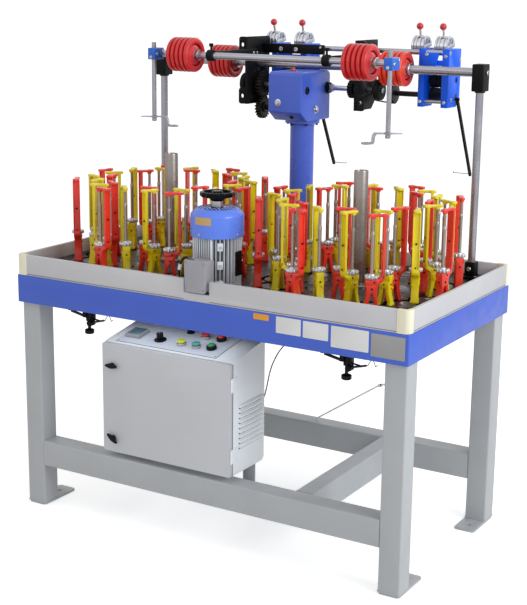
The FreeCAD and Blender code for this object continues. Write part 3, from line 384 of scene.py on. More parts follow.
def polar(pairs, centre=(0.0, 0.0)):
    """Points from (radius, degrees) pairs about a centre."""
    return [(centre[0] + r * cos(radians(a)), centre[1] + r * sin(radians(a))) for r, a in pairs]


def arc(radius, angles, centre=(0.0, 0.0)):
    return polar([(radius, angle) for angle in angles], centre)


def circle(radius, sides=24, centre=(0.0, 0.0), start=0.0):
    return arc(radius, [start + 360.0 * i / sides for i in range(sides)], centre)


def rounded(x0, x1, y0, y1, radius, steps=5):
    """Outline of a rectangle with rounded corners."""
    middles = ((x1 - radius, y1 - radius), (x0 + radius, y1 - radius),
               (x0 + radius, y0 + radius), (x1 - radius, y0 + radius))
    return [point for quarter, middle in enumerate(middles)
            for point in arc(radius, [90.0 * quarter + 90.0 * i / steps
                                      for i in range(steps + 1)], middle)]


def stadium(x0, x1, half):
    """Outline with round ends along X."""
    return (arc(half, range(-90, 91, 22), (x1 - half, 0))
            + arc(half, range(90, 271, 22), (x0 + half, 0)))


def lobed(count, shares):
    """Outline of equal lobes round the origin, from (share of a step, radius) pairs."""
    return polar([(radius, 360.0 * (k + share) / count)
                  for k in range(count) for share, radius in shares])


def span(side, near, far):
    """Low and high end of a stretch on one side of the middle."""
    return sorted((side * near, side * far))


def at(x, y, z):
    return Matrix.Translation((x, y, z))


def rotated(angle, axis):
    return Matrix.Rotation(radians(angle), 4, axis)


AXIS_X = Matrix(((0, 0, 1, 0), (1, 0, 0, 0), (0, 1, 0, 0), (0, 0, 0, 1)))
AXIS_Y = Matrix(((1, 0, 0, 0), (0, 0, -1, 0), (0, 1, 0, 0), (0, 0, 0, 1)))


def from_x(x, y, z):
    """Matrix that lays a Z drawing along +X: drawing x, y become y, z."""
    return at(x, y, z) @ AXIS_X


def facing(side, x, y, z):
    """Matrix that lays a Z drawing along +X or -X."""
    return from_x(x, y, z) if side > 0 else at(x, y, z) @ rotated(-90, "Y")


def bolt(head, along, radius=5.0, height=4.0, socket=True):
    """A cap screw with a hexagon socket, or a hexagon head, and its place on a point."""
    profile = [(0, height * 0.45), (radius * 0.5, height * 0.45), (radius * 0.55, height),
               (radius * 0.85, height), (radius, height * 0.8), (radius, 0), (0, 0)]
    if not socket:
        profile = [(0, height), (radius * 0.8, height), (radius, height * 0.7), (radius, 0),
                   (0, 0)]
    return (turned(profile, 16 if socket else 6),
            Matrix.Translation(head) @ along_matrix(along))


def piece(name, parts, material, *hidden, body="root", slot=None):
    """Turn a drawing, a tuple of one and its places, or a list of these into a finished object.

    It rides its body and stands in for the hidden frame nodes.
    """
    part = join(*(parts if isinstance(parts, list) else [parts]))
    bmesh.ops.scale(part, vec=(MM, MM, MM), verts=part.verts)
    for face in part.faces:
        face.smooth = True
    for edge in part.edges:
        if len(edge.link_faces) == 2 and edge.calc_face_angle(0.0) > radians(40.0):
            edge.smooth = False
    mesh = bpy.data.meshes.new(name)
    part.to_mesh(mesh)
    part.free()
    return dressed(into_scene(name, mesh), material, body, hidden)


def dressed(thing, material, body, hidden=()):
    thing.data.materials.append(material)
    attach(thing, body)
    if hidden:
        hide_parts(*hidden)
    return thing


def cable(name, route, diameter, material):
    """Cable on one smooth line that the route's points steer; the machine holds both ends."""
    line = bpy.data.curves.new(name, "CURVE")
    line.dimensions = "3D"
    spline = line.splines.new("NURBS")
    spline.points.add(len(route) - 1)
    for point, place in zip(spline.points, route):
        point.co = (*(Vector(place) * MM), 1.0)
    spline.order_u = 3
    spline.use_endpoint_u = True
    line.bevel_depth = diameter / 2 * MM
    line.bevel_resolution = 5
    line.use_fill_caps = True
    thing = dressed(into_scene(name, line), material, "root")


# ---------------------------------------------------------------- table
def make_table():
    legs, feet, welds, rails = [], [], [], []
    for sx in SIDES:
        for sy in SIDES:
            (x0, x1), (y0, y1) = span(sx, *LEG_X), span(sy, *LEG_Y)
            legs.append(plate(rounded(x0, x1, y0, y1, 6.0), FOOT_PLATE, APRON_Z[0],
                              [rounded(x0 + 4, x1 - 4, y0 + 4, y1 - 4, 3.0)]))
            welds.append(plate(rounded(x0 - 3, x1 + 3, y0 - 3, y1 + 3, 8.0), FOOT_PLATE, 12.0,
                               (), 2.6, 2, 60.0))
            hole = circle(7.0, 24, (sx * 751.0, sy * 278.5))
            feet.append(plate(rounded(x0, x1, *span(sy, 226.5, LEG_Y[1]), 13.0), 0.0, FOOT_PLATE,
                              [hole], 1.2))
    piece("table_legs", legs, FRAME_GREY, "legs")
    piece("leg_foot_plates", feet, FRAME_GREY, "foot_plates")
    piece("leg_foot_welds", welds, FRAME_GREY)
    for sy in SIDES:
        tube = plate(rounded(*span(sy, *LEG_Y), *RAIL_Z, 7.0), -LEG_X[0], LEG_X[0])
        rails.append((tube, AXIS_X))
    for x in (-CROSS_RAIL_X, CROSS_RAIL_X):
        tube = plate(rounded(x - 36.0, x + 36.0, *RAIL_Z, 7.0), -LEG_Y[0], LEG_Y[0])
        rails.append((tube, AXIS_Y))
    piece("frame_rails", rails, FRAME_GREY, "rails")


def make_apron():
    x, y = TABLE_X, TABLE_Y
    low, high = APRON_Z
    inside = rounded(-x + 4, x - 4, -y + 4, y - 4, 3.0, 4)
    lip = rounded(-x + 9, x - 9, -y + 16.5, y - 16.5, 3.0, 4)
    band = plate(rounded(-x, x, -y, y, 5.0, 4), low, high, [inside], 1.4, 2, 60.0)
    folds = [plate(inside, z, z + 4, [lip]) for z in (low, high - 4)]
    piece("apron_band", [band, *folds], APRON_BLUE, "apron_panels")


def make_tray():
    low, high = TRAY_Z
    end, notch = TRAY_END, TRAY_NOTCH
    front = [(-end, low), (end, low), (end, high), (notch, high), (notch, 932), (-notch, 932),
             (-notch, high), (-end, high)]
    walls = [(plate(front, 414, 428, (), 1.6), AXIS_Y),
             block((-end, 414, low), (end, 428, high), 1.6)]
    for x0, x1 in (span(sx, 784, 798) for sx in SIDES):
        walls.append(block((x0, -397, low), (x1, 397, high), 1.6))
    piece("tray_side_walls", walls, TRAY_METAL, "tray_walls")
    seams = []
    for side in SIDES:
        for x0, x1 in ((-754, -53), (53, 754)) if side < 0 else ((-754, 754),):
            seams.append(block((x0, side * 428.4 - 0.3, 908.0), (x1, side * 428.4 + 0.3, 909.2)))
        seams.append(block((side * 798.4 - 0.3, -396, 908.0), (side * 798.4 + 0.3, 396, 909.2)))
    piece("tray_wall_seams", seams, DARK_JOINT_AND_SHADE)
    outline = [(end, TABLE_Y), *arc(18, range(90, -1, -10), (782, 412)), (TABLE_X, 397.0),
               (784.0, 397.0), (784.0, 414.0), (end, 414.0)]
    cap = plate(outline, 903.5, 982.0, (), 1.8, 2, 40.0)
    corners = [Matrix.Diagonal((sx, sy, 1, 1)) for sx in SIDES for sy in SIDES]
    piece("tray_corner_caps", (cap, *corners), CREAM, "tray_corners")


def make_name_plates():
    """Blank plates on the apron, bare of words and signs."""
    rows = (("orange_blank_plate", 230, 290, 877, 897, PLATE_AMBER),
            ("white_blank_plate_a", 318, 412, 842, 898, PLATE_WHITE),
            ("white_blank_plate_b", 420, 514, 841, 897, PLATE_WHITE),
            ("white_blank_plate_c", 524, 660, 825, 896, PLATE_WHITE),
            ("brushed_blank_plate", 668, 788, 816, 892, PLATE_BRUSHED))
    for name, x0, x1, z0, z1, material in rows:
        flat = plate(rounded(x0, x1, z0, z1, 3.0), TABLE_Y - 0.2, TABLE_Y + 0.7, (), 0.2)
        piece(name, (flat, AXIS_Y), material)


# ---------------------------------------------------------------- braiding heads
def gear_centre(head, index):
    return arc(RING, [GEAR_STEP * (index + 0.5)], (head, 0.0))[0]


def groove_edge(head, side, steps):
    """Scalloped edge of the track plates: side 1 outside the ring, -1 inside."""
    reach = (GROOVE_REACH ** 2 - (GEAR_SPACING / 2) ** 2) ** 0.5
    half = 90.0 + side * GEAR_STEP / 2 - degrees(atan2(reach, GEAR_SPACING / 2))
    swings = [side * half * (2.0 * (k + 0.5) / steps - 1.0) for k in range(steps)]
    points = []
    for index in range(GEARS):
        middle = GEAR_STEP * (index + 0.5) + (0.0 if side > 0 else 180.0)
        points += arc(GROOVE_REACH, [middle + swing for swing in swings],
                      gear_centre(head, index))
    return points


def make_heads():
    deck = plate(rounded(-784, 784, -414, 414, 2.0), DECK_LOW, DECK,
                 [groove_edge(head, 1, 11) for head in HEADS])
    for head in HEADS:
        add(deck, plate(groove_edge(head, -1, 8), DECK_LOW, DECK, [circle(22.5, 24, (head, 0))]))
    piece("track_plates", soften(deck, 1.0, 1, 60.0), DECK_STEEL, "track_plate")
    centres = [gear_centre(head, index) for head in HEADS for index in range(GEARS)]
    disc = turned([(0, 8), (42, 8), (47, 7.2), (51, 6.0), (51, 0), (0, 0)], 36)
    piece("track_quoits", (disc, *[at(x, y, 922.0) for x, y in centres]), QUOIT_STEEL)
    horn = ((57.5, -33), (57.5, -12), (57.5, 12), (57.5, 33), (44.0, 38), (44.0, 52))
    gears = []
    for number, centre in enumerate(centres):
        turn = GEAR_STEP * (number % GEARS)
        rim = [(radius, 90.0 * k + turn + swing) for k in range(4) for radius, swing in horn]
        gears.append(plate(polar(rim, centre), 915.3, 922.0))
    piece("horn_gear_discs", gears, GEAR_IRON, "horn_gears")
    stud = turned([(0, 5), (7, 5), (9, 3.5), (9, 0), (0, 0)], 6)
    piece("horn_gear_studs", (stud, *[at(x, y, DECK) for x, y in centres]), BRIGHT_STEEL)
    screws = [bolt((x, y, DECK), UP, 5.0, 3.0)
              for head in HEADS for x, y in circle(190, 12, (head, 0), 15.0)]
    screws += [bolt((x, y, DECK), UP, 6.0, 3.5) for x in (-760, 0, 760) for y in (-390, 390)]
    piece("deck_screws", screws, BLACK_OXIDE)
    tube = turned([(22, DECK), (25, DECK), (25, 1336), (24, 1340), (22.6, 1340), (22, 1338),
                   (22, DECK)], 40)
    flange = turned([(25, DECK), (44, DECK), (44, DECK + 7), (42, DECK + 9), (25, DECK + 9)], 40)
    piece("core_tubes", (join(tube, flange), *[at(head, 0, 0) for head in HEADS]), TUBE_STEEL,
          "centre_tubes")


def carrier_frame(colour):
    """Cast carrier frame with its spindle on the Z axis and the yarn post towards +X."""
    foot = [(-27, 0), (-14, 0), (-4, 54), (0, 60), (4, 54), (14, 0), (27, 0), (26, 9), (19, 40),
            (18, 58), (20, 82), (26, 92), (38, 98), (41.5, 106), (41.5, 118), (31.5, 118),
            (29, 109), (24, 105), (-18, 105), (-19, 84), (-18, 58), (-19, 40), (-26, 9)]
    parts = [(plate(foot, -13, 13, (), 2.0, 2, 20.0), AXIS_Y)]
    for side in SIDES:
        parts += [block((-21, side * 12.2 - 2.0, 86), (21, side * 12.2 + 2.0, 103), 1.6),
                  block((side * 21.5 - 5.2, -15, 0.4), (side * 21.5 + 5.2, 15, 9), 1.6)]
        if colour == "yellow":
            parts += [block((-16, side * 13 - 2.2, 58), (14, side * 13 + 2.2, 82), 1.8),
                      rod((side * 18.5, -7, 60), (side * 23.5, -7, 60), 4.4, sides=12)]
    post = plate(rounded(-12.4, 12.4, 106, 312, 3.0, 3), 31.6, 36.4, (), 1.2, 1, 40.0)
    parts.append((post, AXIS_X))
    for y0, y1 in (span(side, 9.4, 13.0) for side in SIDES):
        parts.append(block((32, y0, 106), (41.5, y1, 311), 1.4, 1))
    arm = [(-18, 0), *arc(9.5, range(150, 59, -30), (-9, 0)), (2, 6.4), (26, 6.4), (32, 12.5),
           (46, 12.5), (51, 8)]
    arm += [(x, -y) for x, y in reversed(arm[1:])]
    return join(*parts, plate(arm, 308, 317.6, (), 2.4),
                turned([(0, 302), (8, 302), (9, 304), (9, 309), (0, 309)], 16),
                turned([(0, 317), (6.5, 317), (6.5, 318), (0, 318)], 12))


def carrier_crown():
    """Ratchet crown of one carrier."""
    teeth = lobed(10, ((-0.24, 23.4), (0.0, 23.6), (0.24, 23.4), (0.36, 19.0), (0.64, 19.0)))
    return join(plate(teeth, 105.4, 117.0, (), 1.2, 1, 40.0),
                turned([(0, 121), (9, 121), (12, 117), (12, 116), (0, 116)], 16))


def carrier_trim():
    """Dark trim of one carrier: post screw, foot pin and side screws."""
    pins = [((41, 0, 205), (43.4, 0, 205), 3.8, 3.3), ((41, 0, 124), (43.6, 0, 124), 3.0, 2.5),
            ((-17.6, 0, 72), (-20.2, 0, 72), 3.6, 3.1), ((30, 0, 205), (32, 0, 205), 3.0, 2.5)]
    for side in SIDES:
        pins += [((8, side * 13.6, 95), (8, side * 15.8, 95), 3.2, 2.8),
                 ((0, side * 12.8, 72), (0, side * 15.6, 72), 3.6, 3.0)]
    return join(*[rod(*pin, 9) for pin in pins])


def carrier_spindle():
    """Spindle tube of one carrier, thinner above its collar."""
    return join(rod((0, 0, 117), (0, 0, 246), 6.4, sides=14),
                turned([(0, 244), (6.9, 244), (6.9, 258), (6.2, 259), (0, 259)], 14),
                rod((0, 0, 258), (0, 0, 303), 5.2, sides=14))


def carrier_places(head):
    """Colour and place of the 32 carriers: yellow on the crossings, red out on the gears."""
    rows = []
    for k in range(GEARS):
        angle = GEAR_STEP * k
        rows.append(("yellow", CROSSING, angle, angle - (135.0 if k % 2 == 0 else 45.0)))
    for j in range(GEARS // 2):
        outer, inner = GEAR_STEP * (2 * j + 1.5), GEAR_STEP * (2 * j + 0.5)
        rows.append(("red", RING + GEAR_SPACING / 2, outer, outer + 90.0))
        rows.append(("red", RING - GEAR_SPACING / 2, inner, inner + 90.0))
    return [(colour, at(*arc(radius, [angle], (head, 0))[0], DECK) @ rotated(turn, "Z"))
            for colour, radius, angle, turn in rows]


def make_carriers():
    spots = [spot for head in HEADS for spot in carrier_places(head)]
    places = [place for _, place in spots]
    crowns = [place @ Matrix.Rotation(random.uniform(0, 0.5), 4, "Z") for place in places]
    for colour, material in (("red", CARRIER_RED), ("yellow", CARRIER_YELLOW)):
        own = [place for name, place in spots if name == colour]
        piece("carrier_frames_" + colour, (carrier_frame(colour), *own), material,
              colour + "_carriers")
    piece("carrier_crowns", (carrier_crown(), *crowns), CROWN_METAL, "carrier_spindles")
    piece("carrier_spindle_tubes", (carrier_spindle(), *places), SPINDLE_STEEL)
    piece("carrier_screws", (carrier_trim(), *places), BLACK_OXIDE)


# ---------------------------------------------------------------- motor
def make_motor():
    place = at(0, MOTOR_Y, 0)
    # the core shows in the gaps between the fins; its darker grey is painted shade there
    core = turned([(0, 938), (71, 938), (71, 1117), (0, 1117)])
    piece("motor_core", (core, place), SHADE_AND_DARK_GREY)
    fin = block((70, -1.3, 946), (85, 1.3, 1116), 0.9, 1)
    lug = join(plate([(64, -15), (84.5, -11), (84.5, 11), (64, 15)], 931, 968, (), 2.0),
               *[block((70, -10, z), (85.6, 10, z + 28), 2.5) for z in (1010, 1074)])
    housing = join(
        turned([(0, 930), (84, 930), (84, 938), (80, 942), (70, 943), (0, 943)], 64, 0.8),
        turned([(0, 1116), (84, 1116), (89.6, 1118), (89.6, 1129), (0, 1129)], 64, 0.8),
        (fin, *[rotated(10.0 * k, "Z") for k in range(36) if k not in (26, 27, 28)]),
        (lug, *[rotated(40 + 90 * k, "Z") for k in range(4)]),
        block((-32, -85.2, 950), (32, -66, 1042), 3.0),
        *[block((x - 1.3, -85, 1040), (x + 1.3, -66, 1116), 0.9, 1) for x in range(-27, 28, 9)])
    piece("motor_housing", (housing, place), MOTOR_GREY, "motor_body")
    tag = plate(rounded(-314, -274, 982, 1068, 4.0), 83.0, 86.6, (), 0.8)
    piece("motor_blank_tag", (tag, AXIS_X), BLACK_OXIDE, slot="motor_grey")
    cover = turned([(90, 1117), (93, 1117), (93, 1188), (91.6, 1194), (72, 1212.4), (68, 1214),
                    (24, 1214), (24, 1211), (67, 1211), (88.4, 1192), (90, 1187), (90, 1117)], 80)
    piece("motor_fan_cover", (cover, place), COVER_BLUE, "fan_cover")
    make_motor_trim(place)
    shaft = turned([(0, 1129.4), (11.6, 1129.4), (11.6, 1215), (20, 1216), (20, 1236), (18, 1238),
                    (12, 1238), (12, 1269.6), (0, 1269.6)], 36)
    piece("motor_spindle_hub", (shaft, place), BRIGHT_STEEL, "motor_shaft", body="motor_rotor")
    rim = polar([(59.4 + 1.6 * cos(radians(48.0 * k)), 4.0 * k) for k in range(90)])
    dish = turned([(12.2, 1238), (24, 1238), (25, 1241), (30, 1245), (42, 1250), (54, 1252.5),
                   (54, 1259), (46, 1261), (34, 1259), (22, 1257), (20, 1266), (17, 1269),
                   (12.2, 1269)], 60)
    cap = turned([(0, 1269.8), (14, 1269.8), (15, 1270.3), (14, 1270.9), (0, 1270.9)], 32)
    wheel = join(plate(rim, 1251, 1268.5, [circle(47, 45)], 4.5, 3, 40.0), dish, cap)
    piece("motor_handwheel", (wheel, place), BLACK_GLOSS, "handwheel", body="motor_rotor")
    fan = join(turned([(12, 1149), (24, 1149), (24, 1185), (12, 1185), (12, 1149)], 24),
               (block((22, -1.5, 1150), (72, 1.5, 1184)),
                *[rotated(60 * k, "Z") for k in range(6)]))
    piece("motor_fan", (fan, place), BLACK_PLASTIC, "cooling_fan", body="motor_rotor")


def make_motor_trim(place):
    """Slots in the top of the fan cover, its screws and blank plate."""
    slots, heads = [], []
    # the slots are dark strips lying on the closed top of the cover; their darkness is painted
    # shade of the openings
    for y in (12.6 * k for k in range(-5, 6)):
        reach = (66.0 ** 2 - y ** 2) ** 0.5
        near = (27.0 ** 2 - y ** 2) ** 0.5 if abs(y) < 27 else 3.0
        for x0, x1 in (span(side, near, reach) for side in SIDES):
            slots.append(block((x0, y - 2.8, 1213.6), (x1, y + 2.8, 1214.25)))
    piece("fan_cover_slots", (join(*slots), place @ rotated(-40, "Z")), DARK_JOINT_AND_SHADE,
          slot="cover_blue")
    for x, y in circle(1.0, 4, start=-99.0):
        heads.append(bolt((92.6 * x, MOTOR_Y + 92.6 * y, 1129), (x, y, 0), 4.6, 2.6))
    for x, y in circle(1.0, 4, start=40.0):
        heads.append(bolt((77 * x, MOTOR_Y + 77 * y, 967), UP, 6.0, 5, False))
        heads += [bolt((86 * x, MOTOR_Y + 86 * y, z), (x, y, 0), 5.0, 3.0, False)
                  for z in (1024, 1088)]
    piece("motor_screws", heads, BRIGHT_STEEL)
    tag = turned([(93.0, 1163), (93.5, 1163.4), (93.5, 1189), (93.0, 1189.4)], 72)
    middles = [(face, face.calc_center_median()) for face in tag.faces]
    bmesh.ops.delete(tag, geom=[face for face, middle in middles
                                if abs(degrees(atan2(middle.y, middle.x)) + 91.0) > 20.5],
                     context="FACES")
    piece("cover_blank_plate", (tag, place), PLATE_OCHRE)


def make_terminal_box():
    back = -node_box("terminal_box")[1][1]

    def tapered(inset, z_low):
        points = rounded(-44 + inset, 44 - inset, z_low, 1048 - inset, 5.0)
        return [(x * (1.0 - 0.11 * max(0.0, (967 - z) / 30.0)), z) for x, z in points]

    case = join(plate(tapered(0.0, 937.0), 427.0, 440.0, (), 2.0),
                plate(tapered(1.6, 939.0), back, 425.6, (), 1.4),
                plate(tapered(3.0, 941.0), 425.0, 427.5))
    piece("motor_terminal_box", (case, AXIS_Y), BOX_GREY, "terminal_box")
    screws = [bolt((x, -439.4, z), FORWARD, 3.6, 0.6)
              for x, z in ((-36, 949), (36, 949), (-37, 1040), (37, 1040))]
    piece("terminal_box_screws", screws, BRIGHT_STEEL)
    boot = piece("cable_boot", rod((-14, -424, 1043), (-34, -424, 1053.2), 6.6, 4.8, 20, 0.8),
                 SHADE_AND_DARK_GREY, slot="black_plastic")
    sleeve = piece("cable_sleeve",
                   rod((-69, -422, 1027), (-76.5, -418, 1007), 6.4, sides=20, width=0.8),
                   PLATE_WHITE, slot="cream_plastic")
    grommet = turned([(4.2, 930.2), (8, 930.2), (8, 932.5), (6, 935), (4.2, 935)], 20)
    piece("cable_grommet", (grommet, at(-84, -398, 0)), BLACK_PLASTIC)
    route = [(-16, -424, 1044), (-44, -424, 1062), (-70, -422, 1032), (-79, -417, 998),
             (-84, -406, 966), (-84, -398, 946), (-84, -398, 928)]
    cable("motor_supply_cable", route, 8.0, BLACK_PLASTIC)


# ---------------------------------------------------------------- column and gearbox
def make_column():
    column = turned([(0, DECK), (75, DECK), (75, 941), (72, 944), (52, 945), (45.5, 952),
                     (45, 960), (45, 1440), (47, 1452), (52, 1456), (65, 1457), (65, 1469),
                     (0, 1470)], 64)
    piece("gearbox_column", (column, at(0, COLUMN_Y, 0)), COLUMN_BLUE, "column")
    bolts = [bolt((x, y, 944.5), UP, 6.0, 6.0, False)
             for x, y in circle(64, 6, (0, COLUMN_Y), 30.0)]
    piece("column_foot_bolts", bolts, BRIGHT_STEEL)


def make_gearbox():
    side = [(152, 1504), (199.6, 1470), (374, 1470), (374, 1639), (362, 1651), (164, 1651),
            (152, 1639)]
    case = [(plate(side, -70, 70, (), 5.0, 3, 15.0), AXIS_X),
            plate(rounded(-60, 60, 176, 352, 6.0), 1649, 1651.6, (), 0.8)]
    piece("gearbox_housing", case, GEARBOX_BLUE, "gearbox")
    boss = turned([(0, 69), (23, 69), (23, 72), (20, 74), (20, 83), (19, 84), (12, 84), (12, 80),
                   (0, 80)], 36)
    ends = ((1, SHAFT_Z), (-1, SHAFT_Z), (-1, LOWER_SHAFT_Z))
    piece("gearbox_shaft_bosses", (boss, *[facing(sx, 0, SHAFT_Y, z) for sx, z in ends]),
          BLACK_OXIDE)
    bolts = []
    for sx in SIDES:
        washer = turned([(0, 0), (15, 0), (15, 1.6), (12.5, 2.6), (0, 2.6)], 28)
        bolts += [(washer, at(sx * 70, 262, 1511) @ rotated(sx * 90, "Y")),
                  bolt((sx * 72.4, 262, 1511), (sx, 0, 0), 11.0, 7.0, False)]
    washer = turned([(0, 0), (13, 0), (13, 1.6), (11, 2.6), (0, 2.6)], 28)
    bolts += [(washer, at(-28, 152, 1539) @ rotated(90, "X")),
              bolt((-28, 149.6, 1539), FORWARD, 9.5, 6.0, False)]
    bolts += [bolt((82, y, z), (1, 0, 0), 2.6, 3.0)
              for y, z in circle(16, 4, (SHAFT_Y, SHAFT_Z), 45.0)]
    piece("gearbox_bolts", bolts, BRIGHT_STEEL)
    ring = turned([(10.5, -0.2), (15, -0.2), (15, 1.2), (14, 2.0), (11.4, 2.0), (10.5, 1.0),
                   (10.5, -0.2)], 36)
    glass = turned([(0, 0.2), (10.6, 0.2), (10.6, -1), (0, -1)], 32)
    slant = Vector((0, -34, -47.6)).normalized()
    dark = [(ring, from_x(70, 196, 1584)), (glass, from_x(70, 196, 1584)),
            bolt(Vector((18, 176, 1487)) + slant * 0.2, slant, 8.0, 6.0, False)]
    dark += [bolt((x, y, 1456.6), (0, 0, -1), 5.5, 7.0, False)
             for x, y in circle(56, 6, (0, COLUMN_Y), 15.0)]
    piece("gearbox_sight_glass_and_flange_bolts", dark, BLACK_OXIDE)
    plug = turned([(0, 10), (5, 10), (6, 8), (10, 8), (11, 6.5), (11, 0), (0, 0)], 20)
    piece("gearbox_filler_plug", (plug, at(0, 212, 1651)), BALL_RED)


# ---------------------------------------------------------------- overhead bars
def collar(x, y, z, bar, outer, width=14.0):
    """Set collar round a bar along X, and its place."""
    return (turned([(bar, 0), (outer - 1, 0), (outer, 1), (outer, width - 1),
                    (outer - 1, width), (bar, width)], 32), from_x(x, y, z))


def make_bars():
    bars = [bar_x(-657, 657, REAR_BAR_Y, REAR_BAR_Z, 16, 48, 1.0),
            bar_x(-470.7, 525.7, 0, FRONT_BAR_Z, 12, 40, 1.0),
            bar_x(-239.7, 539.7, TIE_BAR_Y, TIE_BAR_Z, 9.8, 32, 1.0)]
    bars += [bar_x(x0, x1, 412, 1552, 7, 24) for x0, x1 in ((-179, -74), (443, 513))]
    piece("overhead_bars", bars, BAR_CHROME, "cross_bars")
    posts = [rod((x, REAR_BAR_Y, 988), (x, REAR_BAR_Y, 1604), 14, sides=40)
             for x in (-POST_X, POST_X)]
    piece("bar_posts", posts, BAR_CHROME, "posts")
    fittings, screws = [], []
    for sx in SIDES:
        x = sx * POST_X
        neck = turned([(14, 1598), (18, 1598), (19, 1600), (19, 1604), (14, 1604)], 28)
        fittings += [plate(rounded(x - 20, x + 20, 333, 373, 6.0), DECK, 990, (), 1.5),
                     plate(rounded(x - 34, x + 34, 319, 387, 10.0), DECK, DECK + 9, (), 1.5),
                     plate(rounded(x - 22.5, x + 22.5, 323, 383, 6.0), 1603, 1698, (), 3.0),
                     (neck, at(x, REAR_BAR_Y, 0))]
        screws += [bolt((x + sx * 22.5, REAR_BAR_Y, REAR_BAR_Z), (sx, 0, 0), 8.0, 6.0),
                   bolt((x, 333, 965), FORWARD, 8.0, 6.0)]
        screws += [bolt((x + dx, y, DECK + 9), UP) for dx in (-26, 26) for y in (327, 379)]
    piece("post_sockets_and_clamps", fittings, BLACK_OXIDE, "post_fittings")
    piece("post_screws", screws, BRIGHT_STEEL)
    collars = []
    for row, y, z, bar in (("front", 0, FRONT_BAR_Z, 12), ("rear", REAR_BAR_Y, REAR_BAR_Z, 16)):
        for side in ("left", "right"):
            low, high = node_box(f"{row}_pulley_{side}")
            for x in (low[0] - 15.0, high[0] + 1.0):
                collars += [collar(x, y, z, bar, bar + 7),
                            bolt((x + 7, y - bar - 6.6, z), FORWARD, 3.0, 1.0)]
    piece("pulley_collars", collars, BRIGHT_STEEL)


def make_side_brackets():
    brackets, screws = [], []
    outline = [(262, 1515), (384, 1515), (424, 1555), (424, 1768), (262, 1768)]
    holes = [circle(10.4, 24, (SHAFT_Y, SHAFT_Z)), circle(16.1, 28, (REAR_BAR_Y, REAR_BAR_Z)),
             circle(10.1, 24, (TIE_BAR_Y, TIE_BAR_Z))]
    for sx in SIDES:
        brackets.append((plate(outline, *span(sx, 228.0, 240.0), holes, 1.4), AXIS_X))
        for z in (1515.0, 1708.0):
            ear = plate(rounded(*span(sx, 236.0, 268.0), z, z + 60, 9.0), -274, -262,
                        [circle(8.0, 24, (sx * 254, z + 30))], 1.4)
            brackets.append((ear, AXIS_Y))
        screws += [bolt((sx * 240.0, y, z), (sx, 0, 0), 6.0, 4.5) for y, z in
                   ((290, 1545), (290, 1640), (398, 1640), (300, 1745), (398, 1572))]
    for x0, x1, y_end in ((-228.0, -216.0, 322.0), (248.0, 260.0, 262.0)):
        arm = plate(stadium(-22, y_end, 15.0), x0, x1, [circle(12.1, 24)], 1.4)
        mid = (x0 + x1) / 2
        brackets += [(arm, from_x(0, 0, FRONT_BAR_Z)),
                     collar(x0 - 6, 0, FRONT_BAR_Z, 12, 21.0, 24.0),
                     rod((mid, 0, 1728), (mid, 0, 1744), 4, sides=12),
                     block((mid - 9, -2.5, 1740), (mid + 9, 2.5, 1752), 2.0)]
    screws += [bolt((-216.0, y, FRONT_BAR_Z), (1, 0, 0), 5.5, 4.0) for y in (284, 308)]
    brackets.append((plate(rounded(-228, 40, 1706, 1742, 5.0), -383, -371, (), 1.4), AXIS_Y))
    for x, z, radius, height in ((-145, 1722, 8.5, 6.0), (-79, 1722, 8.5, 6.0),
                                 (26, 1733, 4.5, 3.0)):
        screws.append(bolt((x, 371, z), FORWARD, radius, height))
    piece("side_plates_and_arms", brackets, BLACK_OXIDE, "side_brackets")
    piece("side_plate_screws", screws, BRIGHT_STEEL)


# ---------------------------------------------------------------- shafts, gears, belts
def gear_outline(teeth, module, turn):
    """Involute-like spur gear outline about the origin."""
    flank = ((-0.26, -1.25), (-0.24, -0.6), (-0.2, 0.2), (-0.1, 0.95), (0.1, 0.95), (0.2, 0.2),
             (0.24, -0.6), (0.26, -1.25))
    return polar([(module * teeth / 2 + offset * module, turn + 360.0 * (k + share) / teeth)
                  for k in range(teeth) for share, offset in flank])


def belt_wheel():
    """Flanged wheel of a take-up belt, drawn along Z."""
    return turned([(10, 0), (33, 0), (36, 1), (36, 3), (34.5, 3.6), (34.5, 18.4), (36, 19),
                   (36, 21), (33, 22), (10, 22)], 40)


def make_drive():
    on_shaft = (SHAFT_Y, SHAFT_Z)
    shafts = [bar_x(x0, x1, *on_shaft, 10, 32, 1.0) for x0, x1 in ((84.4, 303), (-303, -84.4))]
    ring = turned([(10, 86), (15, 86), (15, 96), (14, 97), (10, 97)], 28)
    piece("cross_shafts", [*shafts, (ring, from_x(0, *on_shaft))], BRIGHT_STEEL, "cross_shaft",
          body="cross_shaft")
    black = []
    for x, hub_x in ((BELT_WHEEL_X["right"], 264.0), (BELT_WHEEL_X["left"], -276.0)):
        hub = turned([(10, 0), (18, 0), (18, 12), (10, 12)], 24)
        black += [(belt_wheel(), from_x(x, *on_shaft)), (hub, from_x(hub_x, *on_shaft))]
    grip = plate(lobed(18, ((-0.28, 34.8), (0.28, 34.8), (0.4, 31.0), (0.6, 31.0))), 168, 190,
                 (), 1.2, 1, 40.0)
    cone = turned([(10, 162), (16, 162), (20, 168), (26, 190), (24, 198), (10, 198)], 32)
    black += [(grip, from_x(0, *on_shaft)), (cone, from_x(0, *on_shaft))]
    piece("cross_shaft_pulleys_and_grip", black, BLACK_OXIDE, body="cross_shaft")
    for name, body, teeth, turn, z in (("upper", "cross_shaft", 24, -90.0, SHAFT_Z),
                                       ("lower", "lower_gear", 20, 99.0, LOWER_SHAFT_Z)):
        wheel = plate(gear_outline(teeth, 4.0, turn), -225, -203, [circle(10.2, 24)], 0.6, 1, 40.0)
        hub = turned([(10.2, 0), (20, 0), (20, 8), (10.2, 8)], 28)
        parts = [(wheel, from_x(0, SHAFT_Y, z)), (hub, from_x(-203, SHAFT_Y, z))]
        if name == "lower":
            parts.append(bar_x(-239.7, -84.4, SHAFT_Y, z, 10))
        piece(name + "_gear_wheel", parts, GEAR_BLACK, name + "_change_gear", body=body)
    piece("take_up_belts", [take_up_belt(x) for x in (-296.0, 278.0)], RUBBER, "drive_belts")


